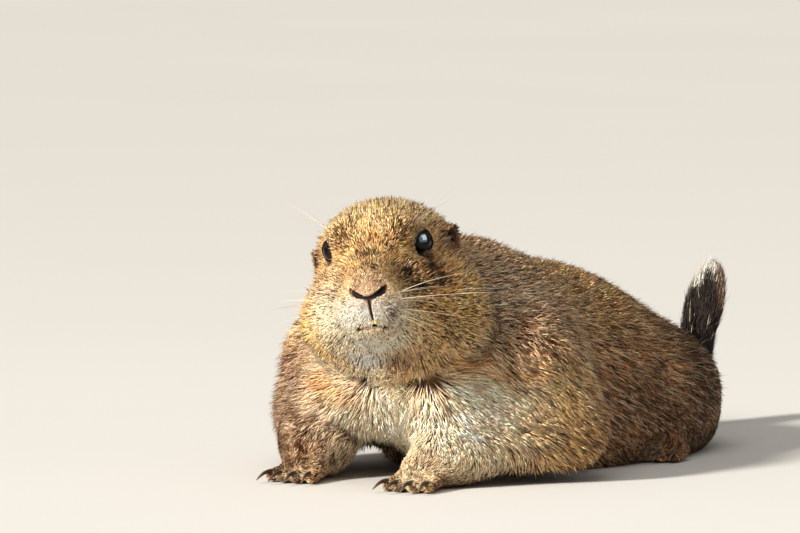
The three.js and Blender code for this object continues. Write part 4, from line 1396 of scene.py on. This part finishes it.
class OBJECT_OT_make_nose(bpy.types.Operator):
    """Make the nose, cleft lip and mouth as one fine piece, and the incisors"""

    bl_idname = "prairie_dog.make_nose"
    bl_label = "Nose and mouth"

    def execute(self, context):
        made = context.scene.prairie_dog_face

        def field(q):
            """The nose's surface, sunk at the rim of its region, with nostrils, cleft and mouth dug out."""
            f = nose_surface(q) + 1.8 * smooth(-3.0, -0.4, nose_region(q))
            for path, fillet in zip(GROOVES, (0.5, 0.5, 0.4, 0.3)):
                f = dug(fillet, f, chain(q, path))
            return np.maximum(f, nose_region(q))

        cell = made.nose_cell
        xs = np.arange(FACE_MIDDLE - 11.5, FACE_MIDDLE + 11.5, cell)
        points, faces = netted(field, xs, np.arange(-39, -21, cell), np.arange(-37.5, -10.5, cell))
        points = settled(field, points, passes=2, reach=0.2)
        groove = groove_distance(points)
        carried = from_head(points)
        base, _, _ = markings(carried)
        tint = patched(points, base * vec(0.74, 0.66, 0.58), (NOSE_PINK, (1.4, -34, -21.5), (3.2, 4, 2.2), 1.0))
        # Painted shade along the grooves: darker at their edges, near black inside.
        tint = laid(tint, GROOVE_EDGE_SHADE, smooth(0.8, 0.3, groove) * 0.45)
        tint = laid(tint, GROOVE_SHADE, smooth(0.4, 0.08, groove))
        skin = tinted_material("bare nose", 0.6, 2600.0, 0.5, bump=0.6, specular=0.2)
        make_piece("nose_and_lips", carried, faces, skin, tint, replaced=["nose"])

        rng = np.random.default_rng(31)
        roots = rooted(carried, faces, lambda p: made.muzzle_density * (nose_region(to_head(p)) < -0.3), rng)
        material = tinted_material("muzzle coat", 0.55, 1100.0, 0.5, specular=0.15)
        lay_coat("muzzle_coat", roots, rng, material, "head", width=0.38, clump=1.4, pull=0.3, lift=1.4,
                 rough=0.35)

        points, faces = self.teeth()
        enamel = tinted_material("enamel", 0.25, 1800.0, 0.35, bump=0.1, specular=0.6)
        ivory = np.tile(np.array(made.tooth_colour, F), (len(points), 1))
        q = to_head(points)
        # Painted shade: the teeth darken upwards, where they go in under the lip.
        ivory = ivory * (0.45 + 0.55 * smooth(-27.5, -30, q[:, 2]))[:, None]
        make_piece("front_teeth", points, faces, enamel, ivory, replaced=["incisors"])
        return {"FINISHED"}

    def teeth(self):
        """Two teeth side by side, each a flattened tube carried down a short arc and narrowed at its cutting edge."""
        t = np.linspace(0, 1, 9)
        paths, radii = [], []
        for s in SIDES:
            across = TEETH_MIDDLE + s * (0.66 - 0.05 * t)
            paths.append(np.stack([across, -29.6 - 1.1 * np.sin(1.6 * t), -26.2 - 4.6 * t], 1))
            radii.append(0.62 - 0.12 * t ** 6)
        points, faces = swept(np.array(paths), np.array(radii), 10, flat=0.75, up=vec(0, -1, 0))
        return from_head(points.astype(F)), faces


class OBJECT_OT_make_ears(bpy.types.Operator):
    """Make the low, rounded ear flaps"""

    bl_idname = "prairie_dog.make_ears"
    bl_label = "Ears"

    def execute(self, context):
        material = tinted_material("ear skin", 0.65, 1500.0, 0.5, bump=0.4, specular=0.2)
        coat = tinted_material("ear coat", 0.55, 900.0, 0.5, specular=0.25)
        for s in SIDES:
            points, faces, inner = self.flap(s)
            # Painted shade: the inner wall darkens towards its root.
            tint = laid(np.tile(BROWN * 0.5, (len(points), 1)), UMBER * 0.2, inner)
            make_piece(f"ear_flap_{SIDE_NAME[s]}", points, faces, material, tint,
                       replaced=[f"ear_{SIDE_NAME[s]}"])
            self.hair(s, points, faces, coat)
        return {"FINISHED"}

    def place(self, q, s):
        """From the ear's own axes (out of the head, back, up) to the head's: leant, mirrored and moved."""
        q = q @ turned(14, 0, -10).T
        return q * vec(s, 1, 1) + EAR_AT[s]

    def flap(self, s, columns=40, rows=9):
        """A curled flap: the angle u runs round the ear's opening from its front foot over the top to its back foot,
        and v from the root to the rim. The flap stands off the head by a height that is greatest over the opening's
        middle, and has two walls, joined at rim, root and both ends."""
        u = np.radians(np.linspace(*FLAP_TURN, columns))
        v = np.linspace(0, 1, rows)
        u, v = np.meshgrid(u, v, indexing="ij")
        along_rim = (u - math.radians(FLAP_TURN[0])) / math.radians(FLAP_TURN[1] - FLAP_TURN[0])
        rise = 0.4 + 1.5 * np.sin(np.clip(along_rim, 0, 1) * math.pi) ** 0.8
        walls = []
        for wall in (FLAP_THICK, 0.0):
            wide = 2.2 + wall + 0.5 * np.sin(v * 2.6)
            tall = 4.1 + wall + 0.4 * np.sin(v * 2.6)
            y, z = wide * np.sin(u), tall * np.cos(u)
            x = rise * v * (1.0 if wall else 0.9) - 2.4 * (1 - v)
            walls.append(np.stack([x, y, z], -1).reshape(-1, 3))
        outer, inner = walls
        count = columns * rows
        faces = [grid_faces(columns, rows, closed_columns=False)[:, ::-1],
                 grid_faces(columns, rows, closed_columns=False, first=count)]
        root, end = np.arange(columns) * rows, np.arange(rows)
        for edge, flip in ((root, False), (root + rows - 1, True), (end, True), (end + (columns - 1) * rows, False)):
            strip = np.stack([edge[:-1], edge[1:], edge[1:] + count, edge[:-1] + count], 1)
            faces.append(strip[:, ::-1] if flip else strip)
        faces = np.concatenate(faces)
        points = self.place(np.concatenate([outer, inner]).astype(F), s)
        shade = np.concatenate([np.zeros(count), smooth(1.0, 0.3, v.ravel())])
        return from_head(points.astype(F)), faces if s > 0 else faces[:, ::-1], shade

    def hair(self, s, points, faces, material):
        """Short hairs on the flap's outer wall, from its root towards its rim and backwards."""
        rng = np.random.default_rng(41)
        outer = faces[(faces < len(points) // 2).all(1)]
        roots = rooted(points, outer, lambda p: EAR_HAIRS + 0 * p[:, 0], rng)
        q = to_head(roots)
        normal = unit((q - self.place(vec(-1.5, 0, 0)[None], s)) * vec(0.4, 1, 0.6)) @ HEAD_TURN.T
        way = vec(s * 0.8, 0.75, 0.1) @ HEAD_TURN.T + rng.normal(0, 0.25, roots.shape)
        way = unit(way + normal * 0.25)
        reach = rng.uniform(1.4, 2.6, len(roots))[:, None]
        tip, middle = roots + way * reach, roots + way * reach * 0.5 + normal * 0.12
        wide = rng.uniform(0.12, 0.2, len(roots))
        colours = hair_colours(roots, rng)
        spikes, hairs, tints = hair_mesh(roots - normal * 0.2, middle, tip, wide, wide * 0.6, normal, colours)
        uv = unwrapped(roots, "head")[:, None] + HAIR_PATCH[None] * PATCH
        make_piece(f"ear_coat_{SIDE_NAME[s]}", spikes, hairs, material, tints, uv.reshape(-1, 2))


class OBJECT_OT_make_claws(bpy.types.Operator):
    """Make the curved claws of all four feet"""

    bl_idname = "prairie_dog.make_claws"
    bl_label = "Claws"

    def execute(self, context):
        made = context.scene.prairie_dog_claws
        material = tinted_material("claw horn", 0.32, 1400.0, 0.6, bump=0.2, specular=0.5)
        t = np.linspace(0, 1, 12)
        for leg in FEET:
            for s in SIDES:
                paths = []
                for _, _, root, tip in digits(leg, s):
                    arch = np.sin(t * math.pi)[:, None] * vec(0, 0, made.curl * 1000)
                    paths.append(root + (tip - root) * t[:, None] + arch - (1 - t[:, None]) * 2.0 * unit(tip - root))
                radius = made.root_radius * 1000 * (1 - t) ** 0.6 * 0.92 + 0.08
                points, faces = swept(np.array(paths), np.tile(radius, (len(paths), 1)), CLAW_SIDES)
                ways = np.concatenate([np.repeat(t, CLAW_SIDES), [0, 1]])
                tint = laid(np.tile(HORN, (len(ways), 1)), HORN_TIP, smooth(0.5, 1, ways))
                tint = np.tile(tint, (len(paths), 1))
                make_piece(f"claws_{leg}_{SIDE_NAME[s]}", points, faces, material, tint,
                           replaced=[f"{leg}_claw_{SIDE_NAME[s]}_{i + 1}" for i in range(len(paths))])
        return {"FINISHED"}


class OBJECT_OT_make_whiskers(bpy.types.Operator):
    """Make the whiskers of muzzle, brows and cheeks"""

    bl_idname = "prairie_dog.make_whiskers"
    bl_label = "Whiskers"

    def execute(self, context):
        made = context.scene.prairie_dog_face
        rng = np.random.default_rng(7)
        material = tinted_material("whisker", 0.4, 800.0, 0.3, specular=0.5)
        t = np.linspace(0, 1, 14)[:, None]
        for s in SIDES:
            paths, thick = [], []
            for i in range(made.whiskers):
                row, step = i % 4, i // 4
                root = vec(FACE_MIDDLE + s * (7.5 + 0.9 * step), -30.5 + 2.6 * step, -20.5 - 2.2 * row)
                way = unit(vec(s * rng.uniform(0.8, 1.0), rng.uniform(0.05, 0.65),
                               0.25 - 0.22 * row + rng.normal(0, 0.12)))
                reach = rng.uniform(18, 36)
                paths.append(self.hair(root, way, reach, -rng.uniform(1, 6), t, s * rng.uniform(-3, 5)))
                thick.append(rng.uniform(0.10, 0.15))
            for _ in range(4):  # on the brow
                root = vec(s * 15, -4, 7) + vec(*rng.normal(0, 1.2, 3))
                way = unit(vec(s * rng.uniform(0.5, 0.9), rng.uniform(-0.1, 0.3), rng.uniform(0.4, 0.8)))
                paths.append(self.hair(root, way, rng.uniform(16, 24), -2, t, 2))
                thick.append(0.10)
            for _ in range(3):  # on the cheek
                root = vec(s * 26, 2, -19) + vec(*rng.normal(0, 1.5, 3))
                way = unit(vec(s, rng.uniform(0.1, 0.5), rng.uniform(-0.1, 0.3)))
                paths.append(self.hair(root, way, rng.uniform(14, 22), -2, t, 2))
                thick.append(0.10)
            path = np.array(paths)
            roots = settled(outline, from_head(path[:, 0].astype(F)), -1.2, passes=4, reach=4.0)
            path = from_head(path.reshape(-1, 3).astype(F)).reshape(path.shape)
            path = path + (roots - path[:, 0])[:, None]
            radii = np.array(thick)[:, None] * (1 - 0.8 * t[:, 0])
            points, faces = swept(path, radii, 4)
            shade = np.repeat(rng.uniform(0.35, 1.0, len(path)), len(points) // len(path))
            make_piece(f"whiskers_{SIDE_NAME[s]}", points, faces, material, WHISKER * shade[:, None])
        return {"FINISHED"}

    def hair(self, root, way, reach, drop, t, bend):
        """A curve from its root: straight along its way, with a drop and a bend back that grow as t squared."""
        return root + way * reach * t + vec(0, bend, drop) * t ** 2


def among_head(q, rng):
    """True on the head, with a ragged edge where two coats meet."""
    return head_share(q) > rng.uniform(0.35, 0.65, len(q))


def among_tail(p, rng):
    """True on the tail, with a ragged edge."""
    return p[:, 1] > 106 + rng.uniform(-4, 4, len(p))


class OBJECT_OT_lay_head_coat(bpy.types.Operator):
    """Lay the short hair of face, crown and cheeks"""

    bl_idname = "prairie_dog.lay_head_coat"
    bl_label = "Head coat"

    def execute(self, context):
        made = context.scene.prairie_dog_coat
        points, faces = skin_arrays()
        rng = np.random.default_rng(21)

        def density(p):
            """From the nose's density to the crown's, and none off the head."""
            q = to_head(p)
            away = smooth(8, 40, length(q - NOSE))
            here = among_head(q, rng) & (nose_region(q) > -0.8)
            return (made.face_density * (1 - away) + made.head_density * away) * here

        roots = rooted(points, faces, density, rng)
        material = tinted_material("head coat", made.roughness, 1100.0, 0.5, specular=0.18)
        lay_coat("head_coat", roots, rng, material, "head", width=made.head_width, clump=1.6, pull=0.32,
                 lift=1.3, rough=0.28)
        return {"FINISHED"}


class OBJECT_OT_lay_body_coat(bpy.types.Operator):
    """Lay the long hair of neck, trunk and legs"""

    bl_idname = "prairie_dog.lay_body_coat"
    bl_label = "Body coat"

    def execute(self, context):
        made = context.scene.prairie_dog_coat
        points, faces = skin_arrays()
        rng = np.random.default_rng(22)
        material = tinted_material("body coat", made.roughness, 700.0, 0.5, specular=0.18)

        def density(p):
            """Closer towards the chest, closest on the paws, and none on head or tail."""
            more = 2.2 * (1 - smooth(0, 10, paw_distance(p))) + 0.6 * smooth(-30, -80, p[:, 1])
            off = among_head(to_head(p), rng) | among_tail(p, rng)
            return made.body_density * (1 + more) * ~off

        roots = rooted(points, faces, density, rng)
        lay_coat("body_coat", roots, rng, material, "body", width=made.body_width, clump=2.8, pull=0.32,
                 lift=0.9, rough=0.2)
        return {"FINISHED"}


class OBJECT_OT_lay_tail_coat(bpy.types.Operator):
    """Lay the dark brush of the tail with its pale fringe"""

    bl_idname = "prairie_dog.lay_tail_coat"
    bl_label = "Tail coat"

    def execute(self, context):
        made = context.scene.prairie_dog_coat
        points, faces = skin_arrays()
        rng = np.random.default_rng(23)
        material = tinted_material("tail coat", made.roughness, 700.0, 0.5, specular=0.25)
        roots = rooted(points, faces, lambda p: 4.6 * among_tail(p, rng), rng)
        pieces = lay_coat("tail_coat", roots, rng, material, "tail", width=made.body_width * 0.8,
                          clump=4.5, pull=0.25, lift=1.6, rough=0.3)
        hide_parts("tail")
        return {"FINISHED"}


OPERATORS = (
    OBJECT_OT_lay_stage,
    OBJECT_OT_make_skin,
    OBJECT_OT_make_eyes,
    OBJECT_OT_make_nose,
    OBJECT_OT_make_ears,
    OBJECT_OT_make_claws,
    OBJECT_OT_make_whiskers,
    OBJECT_OT_lay_head_coat,
    OBJECT_OT_lay_body_coat,
    OBJECT_OT_lay_tail_coat,
)
SETTINGS = {
    "prairie_dog_skin": SkinSettings,
    "prairie_dog_coat": CoatSettings,
    "prairie_dog_face": FaceSettings,
    "prairie_dog_claws": ClawSettings,
    "prairie_dog_stage": StageSettings,
}


class VIEW3D_PT_prairie_dog(bpy.types.Panel):
    """Lists the pieces and their settings in the sidebar"""

    bl_idname = "VIEW3D_PT_prairie_dog"
    bl_label = "Prairie dog"
    bl_space_type = "VIEW_3D"
    bl_region_type = "UI"
    bl_category = "Prairie dog"

    def draw(self, context):
        for operator in OPERATORS:
            self.layout.operator(operator.bl_idname)
        for name, settings in SETTINGS.items():
            box = self.layout.box()
            for label in settings.__annotations__:
                box.prop(getattr(context.scene, name), label)


def register():
    """Adds the classes, and one group of settings of each kind to every scene."""
    for cls in (*SETTINGS.values(), *OPERATORS, VIEW3D_PT_prairie_dog):
        bpy.utils.register_class(cls)
    for name, settings in SETTINGS.items():
        setattr(bpy.types.Scene, name, bpy.props.PointerProperty(type=settings))


def unregister():
    """Takes away what register added, in the opposite order."""
    for name in SETTINGS:
        delattr(bpy.types.Scene, name)
    for cls in (VIEW3D_PT_prairie_dog, *reversed(OPERATORS), *reversed(SETTINGS.values())):
        bpy.utils.unregister_class(cls)


def main():
    """Registers the add-on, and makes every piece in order."""
    register()
    for operator in OPERATORS:
        area, name = operator.bl_idname.split(".")
        getattr(getattr(bpy.ops, area), name)()


if __name__ == "__main__":
    main()
